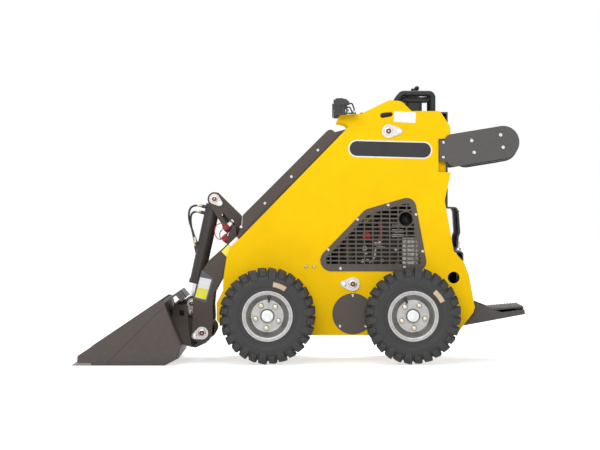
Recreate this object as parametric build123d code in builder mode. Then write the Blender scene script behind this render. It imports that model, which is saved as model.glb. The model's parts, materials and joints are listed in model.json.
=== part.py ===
from build123d import *
import os
from math import atan2, cos, degrees, hypot, radians, sin

# Stand-on skid steer loader, in millimetres.
# +Z is up, the front points to -X, the machine's left side is at -Y.
# The origin is on the ground, at the middle of the length and the width.

# ---------------------------------------------------------------- driving dimensions
# wheels
tyre_dia = 457.2
tyre_width = 216.0
rim_dia = 238.0          # over the flanges
lug_count = 14           # lugs on each shoulder of a tyre
lug_depth = 17.0
front_axle_x = -153.0
rear_axle_x = 530.0
tyre_gap = 14.0          # between a side plate and a tyre
bolt_circle = 114.3
wheel_gap = 0.3          # between a tyre and its rim, and other curved seats

# chassis
belly_z = 131.6
plate_t = 8.0            # yellow side plates
frame_width = 590.0      # over the side plates
inner_span = 320.0       # between the inner plates
deck_z = 1190.0          # top of the tower
tower_rear_x = 715.0
nose_x = -395.0

# boom
pivot_x = 419.7
pivot_z = 1098.9
boom_slope = 45.0        # degrees below the horizontal, lowered
arm_t = 44.0             # width of each box arm
arm_gap = 9.0            # between an arm and the side plate
arm_top = 178.0          # from the pivot's line up to the arm's top edge
pin_dia = 38.0
pin_fit = 0.05           # radial clearance of a pin in its bore
boom_raise = 75.0        # degrees

# bucket and quick attach
hinge_x = -465.3
hinge_z = 141.5
bucket_width = 1100.0
bucket_tip_x = -1068.0
bucket_top_z = 302.7
bucket_back_x = -637.0
shell_t = 8.0
bucket_curl = 12.0       # degrees rolled back
bucket_dump = 105.0      # degrees rolled out

# tilt cylinder, in the middle
tilt_top_x = -411.7
tilt_top_z = 777.4
rod_pin_x = -519.8
rod_pin_z = 275.4
tilt_barrel_dia = 70.0
tilt_barrel_len = 418.0
tilt_rod_dia = 35.0

# lift cylinders, one inside each arm
lift_base_x = 250.5
lift_base_z = 374.6
lift_eye_along = 300.0   # from the boom pivot, along the arm
lift_eye_up = 60.0       # from the pivot's line toward the arm's top
lift_barrel_dia = 50.0
lift_rod_dia = 28.0
eye_t = 28.0             # width of a cylinder's eye
side_play = 2.0          # beside an eye

# operator's station
platform_rear_x = 1068.0
pad_x = 862.5
pad_z = 1030.0
pad_len = 355.0
pad_height = 155.0
pad_tilt = 9.3           # degrees, rear end up
console_width = 300.0
guard_dia = 28.0

# ---------------------------------------------------------------- derived places
axle_z = tyre_dia / 2
plate_out = frame_width / 2
plate_in = plate_out - plate_t
inner_in = inner_span / 2
inner_out = inner_in + plate_t
arm_out = plate_in - arm_gap
arm_in = arm_out - arm_t
lift_y = (arm_in + inner_out) / 2 + 3
wheel_y = plate_out + tyre_gap + tyre_width / 2
SIDES = (("left", 1), ("right", -1))
AXLES = (("front", front_axle_x), ("rear", rear_axle_x))
os.makedirs("parts", exist_ok=True)


def side_plane(side, near, thick):
    """Plane across the machine from which a plate of this thickness is extruded.

    near is the plate's distance from the middle; side is 1 on the left, -1 on the right.
    """
    return Plane.XZ.offset(near if side > 0 else -(near + thick))


def cross_plane(half):
    """Plane from which a solid of width 2 * half is extruded across the middle."""
    return Plane.XZ.offset(-half)


def outline(points, rounds=()):
    """Closed face through (x, z) points, with (corner number, radius) rounds."""
    with BuildSketch(Plane.XY) as sk:
        with BuildLine():
            Polyline(*points, close=True)
        make_face()
        for number, radius in rounds:
            corner = Vector(*points[number])
            near = sk.vertices().sort_by(lambda v: (Vector(*v) - corner).length)[0]
            fillet(near, radius)
    return sk.sketch


def bent_plate(points, thick, side=Side.RIGHT, radius=0):
    """Closed face of a plate folded along (x, z) points, its thickness to one side."""
    with BuildSketch(Plane.XY) as sk:
        with BuildLine():
            if radius:
                FilletPolyline(*points, radius=radius)
            else:
                Polyline(*points)
            offset(amount=thick, side=side)
        make_face()
    return sk.sketch


def save(piece, label):
    piece.label = label
    export_step(piece, f"parts/{label}.step")


def save_pair(left, label):
    """A left piece and its mirror image, as two nodes."""
    save(left, f"{label}_left")
    with BuildPart() as right:
        mirror(left, about=Plane.XZ)
    save(right.part, f"{label}_right")


def along_boom(along, up):
    """(x, z) of a point given along the lowered boom and across it, from its pivot."""
    a = radians(180 + boom_slope)
    return (pivot_x + along * cos(a) + up * sin(a), pivot_z + along * sin(a) - up * cos(a))


# ---------------------------------------------------------------- side plates
# outline of a yellow plate, from the foot of the boom's edge round by the tower
plate_points = [
    (-281.0, 594.6),
    (229.8, 1119.1),
    (214.0, 1135.0),
    (176.0, 1143.0),
    (183.3, 1175.0),
    (288.6, 1181.0),
    (pivot_x + 3.8, 1246.4),
    (pivot_x + 62.0, 1240.0),
    (pivot_x + 108.6, deck_z + 4),
    (663.2, deck_z + 4),
    (tower_rear_x - 3, 1119.0),
    (tower_rear_x, 909.0),
    (685.7, 770.0),
    (728.5, 531.0),
    (776.9, 476.6),
    (800.0, 417.8),
    (829.0, 262.7),
    (820.0, 238.0),
    (772.7, 176.7),
    (737.0, belly_z),
    (-330.0, belly_z),
    (nose_x, 203.0),
    (nose_x, 284.0),
    (-364.0, 345.0),
    (-364.0, 399.0),
    (-349.0, 494.0),
    (-331.0, 548.0),
]
plate_rounds = [(2, 12), (4, 25), (6, 30), (7, 35), (9, 20), (10, 25), (12, 40), (15, 30), (17, 14)]
# the grille's sharp corners, each with its rounding
grille_points = [
    (25.7, 434.7),
    (607.4, 434.7),
    (540.7, 794.7),
    (309.4, 727.6),
]
grille_rounds = [(0, 52), (1, 46), (2, 46), (3, 60)]
disc_x = lift_base_x
disc_z = 233.6
disc_r = 97.0
tie_hole_x = 728.0
tie_hole_z = 405.0
tie_hole_r = 28.0
lift_slot_x = 409.0
lift_slot_z = 1176.0
notch_x = 656.0
notch_top_z = 1062.0
notch_low_z = 904.0
notch_depth = 30.0       # from the plate's outer face in to the pocket's floor
notch_wall = 4.0
pocket_rear_x = tower_rear_x - 15 - plate_t - 0.5

with BuildPart() as side_plate:
    with BuildSketch(side_plane(1, plate_in, plate_t)):
        add(outline(plate_points, plate_rounds))
        with BuildSketch(mode=Mode.SUBTRACT):
            add(outline(grille_points, grille_rounds))
            offset(amount=-26)
        with Locations((tie_hole_x, tie_hole_z)):
            Circle(tie_hole_r, mode=Mode.SUBTRACT)
        with Locations((lift_slot_x, lift_slot_z)):
            SlotOverall(60, 24, rotation=10, mode=Mode.SUBTRACT)
        with Locations((disc_x, disc_z)):
            Circle(disc_r - 22, mode=Mode.SUBTRACT)
        with Locations((notch_x, notch_low_z)):
            Rectangle(90, notch_top_z - notch_low_z, align=(Align.MIN, Align.MIN), mode=Mode.SUBTRACT)
        for x, z, d in (
            (pivot_x, pivot_z, pin_dia),
            (lift_base_x, lift_base_z, pin_dia),
        ):
            with Locations((x, z)):
                Circle(d / 2 + pin_fit, mode=Mode.SUBTRACT)
    extrude(amount=plate_t)
    # pocket behind the notch: its walls, then its floor
    floor_near = plate_out - notch_depth - notch_wall
    with BuildSketch(side_plane(1, floor_near, plate_in - floor_near)):
        with Locations((notch_x - notch_wall, notch_low_z - notch_wall)):
            Rectangle(
                pocket_rear_x - notch_x + notch_wall,
                notch_top_z - notch_low_z + 2 * notch_wall,
                align=(Align.MIN, Align.MIN),
            )
        with Locations((notch_x, notch_low_z)):
            Rectangle(pocket_rear_x - notch_x, notch_top_z - notch_low_z, align=(Align.MIN, Align.MIN),
                      mode=Mode.SUBTRACT)
    extrude(amount=plate_in - floor_near)
    with BuildSketch(side_plane(1, floor_near, notch_wall)):
        with Locations((notch_x - notch_wall, notch_low_z - notch_wall)):
            Rectangle(
                pocket_rear_x - notch_x + notch_wall,
                notch_top_z - notch_low_z + 2 * notch_wall,
                align=(Align.MIN, Align.MIN),
            )
    extrude(amount=notch_wall)
save_pair(side_plate.part, "side_plate")

# ---------------------------------------------------------------- inner plates of the towers
hood_up = 105.0          # from the pivot's line up to the hood's top face
tower_front_x = 290.0
hood_points = [
    (-356.0, 345.0),
    (-335.0, 400.0),
    (-313.0, 485.0),
    along_boom(860.0, hood_up - plate_t),
    along_boom(170.0, hood_up - plate_t),
    (tower_front_x, deck_z - plate_t),
]
tower_web_rear_x = tower_rear_x - 60
inner_floor_z = belly_z + plate_t
inner_points = [
    (-318.0, inner_floor_z),
    (-345.0, 190.0),
    *hood_points,
    (tower_web_rear_x, deck_z - plate_t),
    (tower_web_rear_x, 760.0),
    (tower_rear_x, 560.0),
    (tower_rear_x, inner_floor_z),
]
with BuildPart() as inner_plates:
    for name, side in SIDES:
        with BuildSketch(side_plane(side, inner_in, plate_t)):
            add(outline(inner_points))
            with Locations((pivot_x, pivot_z), (lift_base_x, lift_base_z)):
                Circle(pin_dia / 2 + pin_fit, mode=Mode.SUBTRACT)
            with Locations((front_axle_x, axle_z), (rear_axle_x, axle_z)):
                Circle(60, mode=Mode.SUBTRACT)
            with BuildSketch(mode=Mode.SUBTRACT):
                add(outline(grille_points, grille_rounds))
                offset(amount=-34)
        extrude(amount=plate_t)
save(inner_plates.part, "inner_plates")

# ---------------------------------------------------------------- chassis tub
# belly plate and rounded nose between the side plates
nose_points = [
    (-330.0, belly_z),
    (nose_x, 203.0),
    (nose_x, 284.0),
    (-364.0, 345.0),
]
tub_rear_x = 737.0
with BuildPart() as chassis_tub:
    with BuildSketch(cross_plane(plate_in)):
        add(bent_plate([(tub_rear_x, belly_z), *nose_points], plate_t, Side.RIGHT))
    extrude(amount=2 * plate_in)
save(chassis_tub.part, "chassis_tub")

# ---------------------------------------------------------------- hood and tower deck
# the hood lies between the inner plates, under the boom; the deck closes the tower's top
with BuildPart() as hood:
    with BuildSketch(cross_plane(inner_out)):
        add(bent_plate(hood_points, plate_t, Side.LEFT))
    extrude(amount=2 * inner_out)
save(hood.part, "hood")

deck_front_x = pivot_x + 35
with BuildPart() as tower_deck:
    with BuildSketch(Plane.XY.offset(deck_z - plate_t)):
        with Locations((tower_front_x, 0)):
            Rectangle(tower_rear_x - 15 - tower_front_x, 2 * inner_out, align=(Align.MIN, Align.CENTER))
        with Locations((deck_front_x, 0)):
            Rectangle(tower_rear_x - 15 - deck_front_x, 2 * plate_in, align=(Align.MIN, Align.CENTER))
    extrude(amount=plate_t)
save(tower_deck.part, "tower_deck")

# ---------------------------------------------------------------- operator's controls
console_panel_x = (477.0, 617.0)
console_panel_z = (1244.0, 1264.0)
pedestal_x = (505.0, 584.0)
with BuildPart() as console:
    with BuildSketch(cross_plane(console_width / 2)) as panel:
        with Locations((console_panel_x[0], console_panel_z[0])):
            Rectangle(
                console_panel_x[1] - console_panel_x[0],
                console_panel_z[1] - console_panel_z[0],
                align=(Align.MIN, Align.MIN),
            )
        fillet(panel.vertices(), 7)
    extrude(amount=console_width)
    with BuildSketch(Plane.XY.offset(deck_z)):
        with Locations(((pedestal_x[0] + pedestal_x[1]) / 2, 0)):
            RectangleRounded(pedestal_x[1] - pedestal_x[0], console_width - 40, 18)
    extrude(amount=console_panel_z[0] - deck_z)
save(console.part, "console")

guard_r = guard_dia / 2
guard_y = console_width / 2 + 35
guard_top_z = 1293.7
with BuildPart() as control_guard:
    for name, side in SIDES:
        y = -side * guard_y
        with BuildLine():
            FilletPolyline(
                (465.0, y, deck_z),
                (465.0, y, 1250.0),
                (485.0, y, guard_top_z - guard_r),
                (632.0, y, guard_top_z - guard_r),
                (632.0, y, deck_z),
                radius=19,
            )
        with BuildSketch(Plane((465.0, y, deck_z))):
            Circle(guard_r)
        sweep()
    for x in (492.0, 620.0):
        with BuildSketch(Plane.XZ.offset(-guard_y)):
            with Locations((x, guard_top_z - guard_r)):
                Circle(guard_r - 2)
        extrude(amount=2 * guard_y)
save(control_guard.part, "control_guard")

# two drive levers and a loader lever, each a bent stem with a round knob
lever_rows = (
    # y, foot x, knob x, knob z, knob radius
    (70.0, 545.0, 561.7, 1309.0, 11.0),
    (-70.0, 545.0, 561.7, 1309.0, 11.0),
    (0.0, 540.0, 543.0, 1302.0, 9.0),
)
with BuildPart() as control_levers:
    for y, foot_x, knob_x, knob_z, knob_r in lever_rows:
        foot = Vector(foot_x, y, console_panel_z[1] + 3)
        knob = Vector(knob_x, y, knob_z)
        stem = Plane(foot, z_dir=knob - foot)
        with BuildSketch(stem):
            Circle(5)
        extrude(amount=(knob - foot).length)
        with BuildSketch(Plane.XY.offset(console_panel_z[1])):
            with Locations((foot_x, y)):
                Circle(9)
        extrude(amount=7)
        with Locations(knob):
            Sphere(knob_r)
save(control_levers.part, "control_levers")

# ---------------------------------------------------------------- engine and rear covers
engine_front_x = 170.0
engine_rear_x = 600.0
engine_low_z = 255.0
engine_top_z = 690.0
with BuildPart() as engine_block:
    with BuildSketch(cross_plane(inner_in - 12)):
        with Locations((engine_front_x, engine_low_z)):
            Rectangle(
                engine_rear_x - engine_front_x,
                engine_top_z - engine_low_z,
                align=(Align.MIN, Align.MIN),
            )
        with Locations((engine_front_x + 30, inner_floor_z), (engine_rear_x - 90, inner_floor_z)):
            Rectangle(60, engine_low_z - inner_floor_z, align=(Align.MIN, Align.MIN))
    extrude(amount=2 * (inner_in - 12))
save(engine_block.part, "engine_block")

cover_gap_z = (530.0, 546.0)  # between the lower and the upper rear cover
rear_points = [
    (tower_rear_x - 15 - plate_t, deck_z - plate_t),
    (tower_rear_x - 15 - plate_t, 731.5),
    (737.0, 731.5),
    (745.0, 716.0),
    (752.0, 618.0),
    (745.0, 600.0),
    (741.0, cover_gap_z[1]),
    (720.0, cover_gap_z[1]),
]
low_rear_points = [
    (735.0, cover_gap_z[0] - plate_t),
    (767.0, cover_gap_z[0] - plate_t),
    (767.0, 200.0),
    (tub_rear_x, belly_z),
]
with BuildPart() as rear_cover:
    for points in (rear_points, low_rear_points):
        with BuildSketch(cross_plane(plate_in)):
            add(bent_plate(points, plate_t, Side.LEFT, 8))
        extrude(amount=2 * plate_in)
save(rear_cover.part, "rear_cover")

muffler_x = 650.0
muffler_z = 590.0
muffler_len = 240.0
muffler_r = 48.0
with BuildPart() as muffler:
    with BuildSketch(cross_plane(muffler_len / 2)):
        with Locations((muffler_x, muffler_z)):
            Circle(muffler_r)
    extrude(amount=muffler_len)
    with BuildSketch(Plane.YZ.offset(engine_rear_x)):
        with Locations((0.0, muffler_z)):
            Circle(16)
    extrude(amount=30)
save(muffler.part, "muffler")

# what shows of the engine through the grilles: cooling shroud, heat shield, air cleaner
shroud_x = 300.0
shroud_z = 600.0
shroud_r = 105.0
fitting_t = 10.0
cleaner_r = 45.0
block_y = inner_in - 12
with BuildPart() as engine_fittings:
    for name, side in SIDES:
        with BuildSketch(side_plane(side, block_y, fitting_t)):
            with Locations((shroud_x, shroud_z)):
                Circle(shroud_r)
                Circle(shroud_r - 22, mode=Mode.SUBTRACT)
                Circle(30)
                with PolarLocations(0, 12):
                    with Locations((shroud_r / 2, 0)):
                        Rectangle(shroud_r - 20, 7)
        extrude(amount=fitting_t)
        with BuildSketch(side_plane(side, block_y, fitting_t - 2)):
            with Locations((530.0, 540.0)):
                RectangleRounded(70, 150, 18)
            with Locations((430.0, 480.0)):
                Circle(34)
        extrude(amount=fitting_t - 2)
    for y in (-85.0, 85.0):
        with BuildSketch(Plane.YZ.offset(engine_front_x + 130)):
            with Locations((y, engine_top_z + cleaner_r)):
                Circle(cleaner_r)
        extrude(amount=180)
save(engine_fittings.part, "engine_fittings")

# ---------------------------------------------------------------- grilles
# a slotted steel plate behind each side plate's window
slot_len = 34.0
slot_h = 12.5
slot_pitch_x = 40.0
slot_pitch_z = 20.0
grille_border = 26.0
grille_t = 3.0
port_x = 501.0
port_z = 682.4
port_r = 34.0
with BuildSketch(Plane.XY) as grille_face:
    add(outline(grille_points, grille_rounds))
with BuildSketch(Plane.XY) as slot_zone:
    add(outline(grille_points, grille_rounds))
    offset(amount=-grille_border)
with BuildSketch(Plane.XY) as slots:
    with Locations((345.0, 615.0)):
        with GridLocations(slot_pitch_x, slot_pitch_z, 12, 17):
            Rectangle(slot_len, slot_h)
    add(slot_zone.sketch, mode=Mode.INTERSECT)
    with Locations((port_x, port_z)):
        Circle(port_r + 5, mode=Mode.SUBTRACT)
        Circle(port_r)
with BuildPart() as grille:
    with BuildSketch(side_plane(1, plate_out, grille_t)):
        add(grille_face.sketch)
        add(slots.sketch, mode=Mode.SUBTRACT)
    extrude(amount=grille_t)
save_pair(grille.part, "grille")

# round covers low on the side plates
disc_t = 4.0
with BuildPart() as disc_covers:
    for name, side in SIDES:
        with BuildSketch(side_plane(side, plate_out, disc_t)):
            with Locations((disc_x, disc_z)):
                Circle(disc_r)
            with Locations((disc_x, belly_z)):
                Rectangle(3 * disc_r, disc_r, align=(Align.CENTER, Align.MAX), mode=Mode.SUBTRACT)
        extrude(amount=disc_t)
save(disc_covers.part, "disc_covers")

# ---------------------------------------------------------------- pins fixed in the frame
keeper_t = 8.0


def keeper(x, z, bolt_x, bolt_z, big, small):
    """Teardrop keeper plate round a pin's head and its bolt."""
    with BuildSketch(Plane.XY) as sk:
        with Locations((x, z)):
            Circle(big)
        with Locations((bolt_x, bolt_z)):
            Circle(small)
        make_hull()
    return sk.sketch


pin_rows = (
    # x, z, keeper bolt x, keeper bolt z, how far in from the plate's outer face
    (pivot_x, pivot_z, pivot_x + 49, pivot_z, plate_out - inner_in),
    (lift_base_x, lift_base_z, lift_base_x - 43.5, lift_base_z, plate_out - inner_in),
)
with BuildPart() as frame_pins:
    for name, side in SIDES:
        for x, z, bolt_x, bolt_z, reach in pin_rows:
            with BuildSketch(side_plane(side, plate_out - reach, reach + keeper_t + 3)):
                with Locations((x, z)):
                    Circle(pin_dia / 2)
            extrude(amount=reach + keeper_t + 3)
            with BuildSketch(side_plane(side, plate_out, keeper_t)):
                add(keeper(x, z, bolt_x, bolt_z, 33, 16))
            extrude(amount=keeper_t)
save(frame_pins.part, "frame_pins")

# ---------------------------------------------------------------- axle housings
housing_r = 62.0
hub_len = 57.0           # from the rim's mounting face in to the housing's end
disc_w = 40.0            # from the rim's middle out to its mounting face
housing_reach = wheel_y + disc_w - hub_len
stub_r = 25.0
stub_in = 40.0           # how far a hub's stub enters the housing
with BuildPart() as axle_housings:
    for name, side in SIDES:
        for axle, x in AXLES:
            with BuildSketch(side_plane(side, plate_out, 10)):
                with Locations((x, axle_z)):
                    Circle(housing_r + 25)
            extrude(amount=10)
            with BuildSketch(side_plane(side, plate_out, housing_reach - plate_out)):
                with Locations((x, axle_z)):
                    Circle(housing_r)
            extrude(amount=housing_reach - plate_out)
            with BuildSketch(side_plane(side, housing_reach - stub_in, stub_in)):
                with Locations((x, axle_z)):
                    Circle(stub_r + pin_fit)
            extrude(amount=stub_in, mode=Mode.SUBTRACT)
save(axle_housings.part, "axle_housings")

# ---------------------------------------------------------------- platform
platform_points = [
    (765.3, 175.0),
    (775.3, 199.0),
    (775.3, 240.0),
    (835.0, 286.0),
    (956.0, 240.0),
    (1065.0, 253.0),
    (platform_rear_x, 236.0),
    (850.0, 190.0),
]
platform_half = plate_in - 20
with BuildPart() as platform_frame:
    for name, side in SIDES:
        with BuildSketch(side_plane(side, platform_half - plate_t, plate_t)):
            add(outline(platform_points, [(7, 20)]))
        extrude(amount=plate_t)
    with BuildSketch(cross_plane(platform_half)):
        with BuildLine():
            Polyline((775.0, 184.0), (850.0, 190.0), (platform_rear_x, 231.0))
            offset(amount=6, side=Side.LEFT)
        make_face()
    extrude(amount=2 * platform_half)
save(platform_frame.part, "platform_frame")

# serrated step: a plate with a toothed top, on two feet
tread_front = (852.0, 254.0)
tread_rear = (1061.0, 272.0)
tooth_count = 16
tooth_h = 5.0
foot_t = 6.0
with BuildPart() as platform_tread:
    rise = (tread_rear[1] - tread_front[1]) / (tread_rear[0] - tread_front[0])
    pitch = (tread_rear[0] - tread_front[0]) / tooth_count
    teeth = []
    for i in range(tooth_count):
        x = tread_front[0] + i * pitch
        z = tread_front[1] + i * pitch * rise
        teeth += [(x, z - tooth_h), (x + pitch / 2, z + pitch / 2 * rise)]
    with BuildSketch(cross_plane(platform_half - plate_t - 0.3)):
        add(
            outline(
                [
                    (tread_front[0], 197.0),
                    *teeth,
                    (tread_rear[0], tread_rear[1] - tooth_h),
                    (tread_rear[0], 236.2),
                    (tread_rear[0] - foot_t, 235.1),
                    (tread_rear[0] - foot_t, tread_rear[1] - tooth_h - 6),
                    (tread_front[0] + foot_t, tread_front[1] - tooth_h - 6),
                    (tread_front[0] + foot_t, 198.1),
                ]
            )
        )
    extrude(amount=2 * (platform_half - plate_t - 0.3))
save(platform_tread.part, "platform_tread")

# ---------------------------------------------------------------- hip pads
pad_y = plate_out + 4
pad_plate_t = 5.0
cushion_t = 40.0
bracket_x = (notch_x + 4, 697.0)
bracket_z = (953.0, 1056.0)
bracket_in = plate_out - notch_depth + 0.3
pad_nose_r = 42.0        # front corners; the rear end is round
with BuildSketch(Plane.XY) as pad_shape:
    Rectangle(pad_len, pad_height)
    fillet(pad_shape.vertices().sort_by(Axis.X)[-2:], pad_height / 2 - 0.5)
    fillet(pad_shape.vertices().sort_by(Axis.X)[:2], pad_nose_r)
with BuildSketch(Plane.XY) as pad_face:
    with Locations((pad_x, pad_z)):
        add(pad_shape.sketch, rotation=pad_tilt)
with BuildPart() as pad_brackets:
    for name, side in SIDES:
        with BuildSketch(side_plane(side, pad_y, pad_plate_t)):
            add(pad_face.sketch)
        extrude(amount=pad_plate_t)
        # bracket on the pocket's floor, with a flange out under the pad's plate
        bracket_height = bracket_z[1] - bracket_z[0]
        with BuildSketch(side_plane(side, bracket_in, pad_y - bracket_in)):
            with Locations((bracket_x[0], bracket_z[0])):
                Rectangle(pocket_rear_x - 0.5 - bracket_x[0], bracket_height, align=(Align.MIN, Align.MIN))
        extrude(amount=pad_y - bracket_in)
        with BuildSketch(side_plane(side, plate_out - 4, pad_y + pad_plate_t - plate_out + 4)):
            with Locations((bracket_x[0], bracket_z[0])):
                Rectangle(bracket_x[1] - bracket_x[0], bracket_height, align=(Align.MIN, Align.MIN))
        extrude(amount=pad_y + pad_plate_t - plate_out + 4)
        with BuildSketch(side_plane(side, plate_out - 4, pad_y - plate_out + 4)):
            with Locations((bracket_x[0], bracket_z[0] + 6)):
                Rectangle(728 - bracket_x[0], bracket_height - 12, align=(Align.MIN, Align.MIN))
        extrude(amount=pad_y - plate_out + 4)
save(pad_brackets.part, "pad_brackets")

with BuildPart() as pad_cushion:
    with BuildSketch(side_plane(1, pad_y - 0.3 - cushion_t, cushion_t)):
        with Locations((pad_x + 22, pad_z - 13)):
            SlotOverall(pad_len - 62, pad_height - 8, rotation=pad_tilt)
    extrude(amount=cushion_t)
save_pair(pad_cushion.part, "pad_cushion")

# ---------------------------------------------------------------- work lamps
lamp_y = plate_out + 50
lamp_w = 90.0
lamp_fins = 5
shell_points = [
    (161.0, 1227.0),
    (167.0, 1251.0),
    (194.0, 1253.0),
    (219.0, 1247.0),
    (232.0, 1236.0),
    (234.0, 1221.0),
    (163.0, 1221.0),
]
bracket_foot_z = 1185.0
with BuildPart() as work_lamps:
    for name, side in SIDES:
        with BuildSketch(side_plane(side, lamp_y - lamp_w / 2, lamp_w)):
            add(outline(shell_points, [(1, 6), (3, 8), (4, 8)]))
        extrude(amount=lamp_w)
        with BuildSketch(side_plane(side, lamp_y - lamp_w / 2 + 3, lamp_w - 6)):
            with Locations((166.0, 1174.0)):
                Rectangle(28, 50, align=(Align.MIN, Align.MIN))
        extrude(amount=lamp_w - 6)
        # cooling fins stand behind the lamp's body
        for i in range(lamp_fins):
            fin_y = lamp_y - lamp_w / 2 + 8 + i * (lamp_w - 20) / (lamp_fins - 1)
            with BuildSketch(side_plane(side, fin_y, 4)):
                with Locations((194.0, 1176.0)):
                    Rectangle(16, 47, align=(Align.MIN, Align.MIN))
            extrude(amount=4)
        # upright and foot that carry it on the side plate's edge
        with BuildSketch(side_plane(side, lamp_y - 25, 50)):
            with Locations((217.0, bracket_foot_z)):
                Rectangle(6, 1223 - bracket_foot_z, align=(Align.MIN, Align.MIN))
        extrude(amount=50)
        with BuildSketch(side_plane(side, plate_in, lamp_y + 25 - plate_in)):
            with Locations((210.0, bracket_foot_z - 5)):
                Rectangle(54, 5, align=(Align.MIN, Align.MIN))
        extrude(amount=lamp_y + 25 - plate_in)
        with BuildLine():
            FilletPolyline(
                (230.0, -side * (lamp_y - 20), 1229.0),
                (246.0, -side * (lamp_y - 20), 1229.0),
                (256.0, -side * (lamp_y - 20), 1205.0),
                (256.0, -side * (lamp_y - 20), bracket_foot_z - 2),
                radius=8,
            )
        with BuildSketch(Plane((230.0, -side * (lamp_y - 20), 1229.0), z_dir=(1, 0, 0))):
            Circle(3.5)
        sweep()
save(work_lamps.part, "work_lamps")

# ---------------------------------------------------------------- wheels
bead_w = 84.0            # half width between the rim's flanges
bead_r = rim_dia / 2 - 13
flange_t = 7.0
sidewall_r = 163.0       # where the sidewall stands out farthest
shoulder_w = 18.0        # how far the tread's edge lies in from the sidewall
shoulder_r = tyre_dia / 2 - 24
lug_top_r = tyre_dia / 2 - 0.2
lug_gap = 15.0           # width of a slot between two lugs
tyre_sides = 2 * lug_count
hub_cap_r = 33.5
mount_t = 6.0
dish_r = 76.0            # of the flat mounting face


def prism_through(sections, apothem=False):
    """Solid round the Y axis through regular polygons at (w, radius) sections."""
    with BuildPart(mode=Mode.PRIVATE) as body:
        for w, r in sections:
            with BuildSketch(Plane.XZ.offset(w)):
                RegularPolygon(r, tyre_sides, major_radius=not apothem, rotation=0)
        loft(ruled=True)
    return body.part


with BuildPart() as tyre:
    half = tyre_width / 2
    add(
        prism_through(
            [
                (-half, shoulder_r),
                (-half + shoulder_w, lug_top_r),
                (half - shoulder_w, lug_top_r),
                (half, shoulder_r),
            ]
        )
    )
    add(prism_through([(-half - 1, bead_r), (half + 1, bead_r)], apothem=True), mode=Mode.SUBTRACT)
    for s in (1, -1):
        # hollow under the sidewall, down to the rim's flange
        hollow = [(s * bead_w, rim_dia / 2 + wheel_gap), (s * (half + 0.01), sidewall_r)]
        add(prism_through(sorted(hollow), apothem=True), mode=Mode.SUBTRACT)
        # slots between the lugs of this shoulder
        with BuildPart(mode=Mode.PRIVATE) as slot:
            with BuildSketch(Plane.YZ.offset(-lug_gap / 2)):
                with BuildLine():
                    Polyline(
                        (s * 5, tyre_dia),
                        (s * 5, lug_top_r - lug_depth),
                        (s * (half - shoulder_w), lug_top_r - lug_depth - 4),
                        (s * (half + 1), sidewall_r + 12),
                        (s * (half + 1), tyre_dia),
                        close=True,
                    )
                make_face()
            extrude(amount=lug_gap)
        turn = 360 / lug_count
        first = 0 if s > 0 else turn / 2
        for i in range(lug_count):
            add(slot.part.rotate(Axis.Y, first + i * turn), mode=Mode.SUBTRACT)

# rim and hub, with distances w outward from the tyre's middle, on the machine's right
with BuildPart() as rim:
    with BuildSketch(Plane.YZ):
        with BuildLine():
            Polyline(
                (bead_w + flange_t, rim_dia / 2),
                (bead_w + wheel_gap, rim_dia / 2),
                (bead_w + wheel_gap, bead_r - wheel_gap),
                (-bead_w - wheel_gap, bead_r - wheel_gap),
                (-bead_w - wheel_gap, rim_dia / 2),
                (-bead_w - flange_t, rim_dia / 2),
                (-bead_w - flange_t, bead_r - 6),
                (bead_w - 12, bead_r - 6),
                (disc_w, dish_r + 4),
                (disc_w, hub_cap_r + wheel_gap),
                (disc_w + mount_t, hub_cap_r + wheel_gap),
                (disc_w + mount_t, dish_r),
                (bead_w - 4, bead_r - 9),
                (bead_w + 2, bead_r - 5),
                (bead_w + 3, rim_dia / 2 - 10),
                (bead_w + flange_t, rim_dia / 2 - 9),
                close=True,
            )
        make_face()
    revolve(axis=Axis.Y)
hub_back_w = housing_reach + 5 - wheel_y
stub_end_w = housing_reach - stub_in + 1 - wheel_y
with BuildPart() as hub:
    with BuildSketch(Plane.YZ):
        with BuildLine():
            Polyline(
                (stub_end_w, 0),
                (stub_end_w, stub_r),
                (hub_back_w, stub_r),
                (hub_back_w, 50),
                (disc_w - 12, 50),
                (disc_w - 12, bolt_circle / 2 + 8),
                (disc_w, bolt_circle / 2 + 8),
                (disc_w, hub_cap_r),
                (disc_w + 16, hub_cap_r),
                (disc_w + 22, hub_cap_r - 6),
                (disc_w + 22, 0),
                close=True,
            )
        make_face()
    revolve(axis=Axis.Y)
for axle, x in AXLES:
    for name, side in SIDES:
        for piece, label in ((tyre, "tyre"), (rim, "rim"), (hub, "hub")):
            with BuildPart() as placed:
                if side > 0:
                    with Locations((x, -wheel_y, axle_z)):
                        add(piece.part.mirror(Plane.XZ))
                else:
                    with Locations((x, wheel_y, axle_z)):
                        add(piece.part)
            save(placed.part, f"{label}_{axle}_{name}")

# ---------------------------------------------------------------- boom
pivot_boss_r = 60.0
hinge_boss_r = 48.0
cover_top = 207.0        # from the pivot's line up to the cover's top
cover_t = 4.0
skirt_t = 3.0
skirt_low = 150.0
cover_rear = 183.0       # along the boom
cover_front = 834.0
cover_rake = 62.0        # how much farther back the cover's front end is at its top
lift_eye = along_boom(lift_eye_along, lift_eye_up)
arm_points = [
    along_boom(-20, 57),
    along_boom(185, arm_top),
    along_boom(805, arm_top),
    (-292.0, 610.0),
    (-430.0, 488.0),
    (-457.0, 446.0),
    (-508.0, 312.0),
    (-508.0, 227.0),
    (hinge_x - hinge_boss_r, hinge_z),
    (hinge_x + hinge_boss_r, hinge_z),
    (-412.0, 207.0),
    (-415.0, 266.0),
    (-409.0, 327.0),
    (-367.0, 405.0),
    (-349.0, 494.0),
    (-318.0, 548.0),
    along_boom(0, -pivot_boss_r),
]
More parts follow.
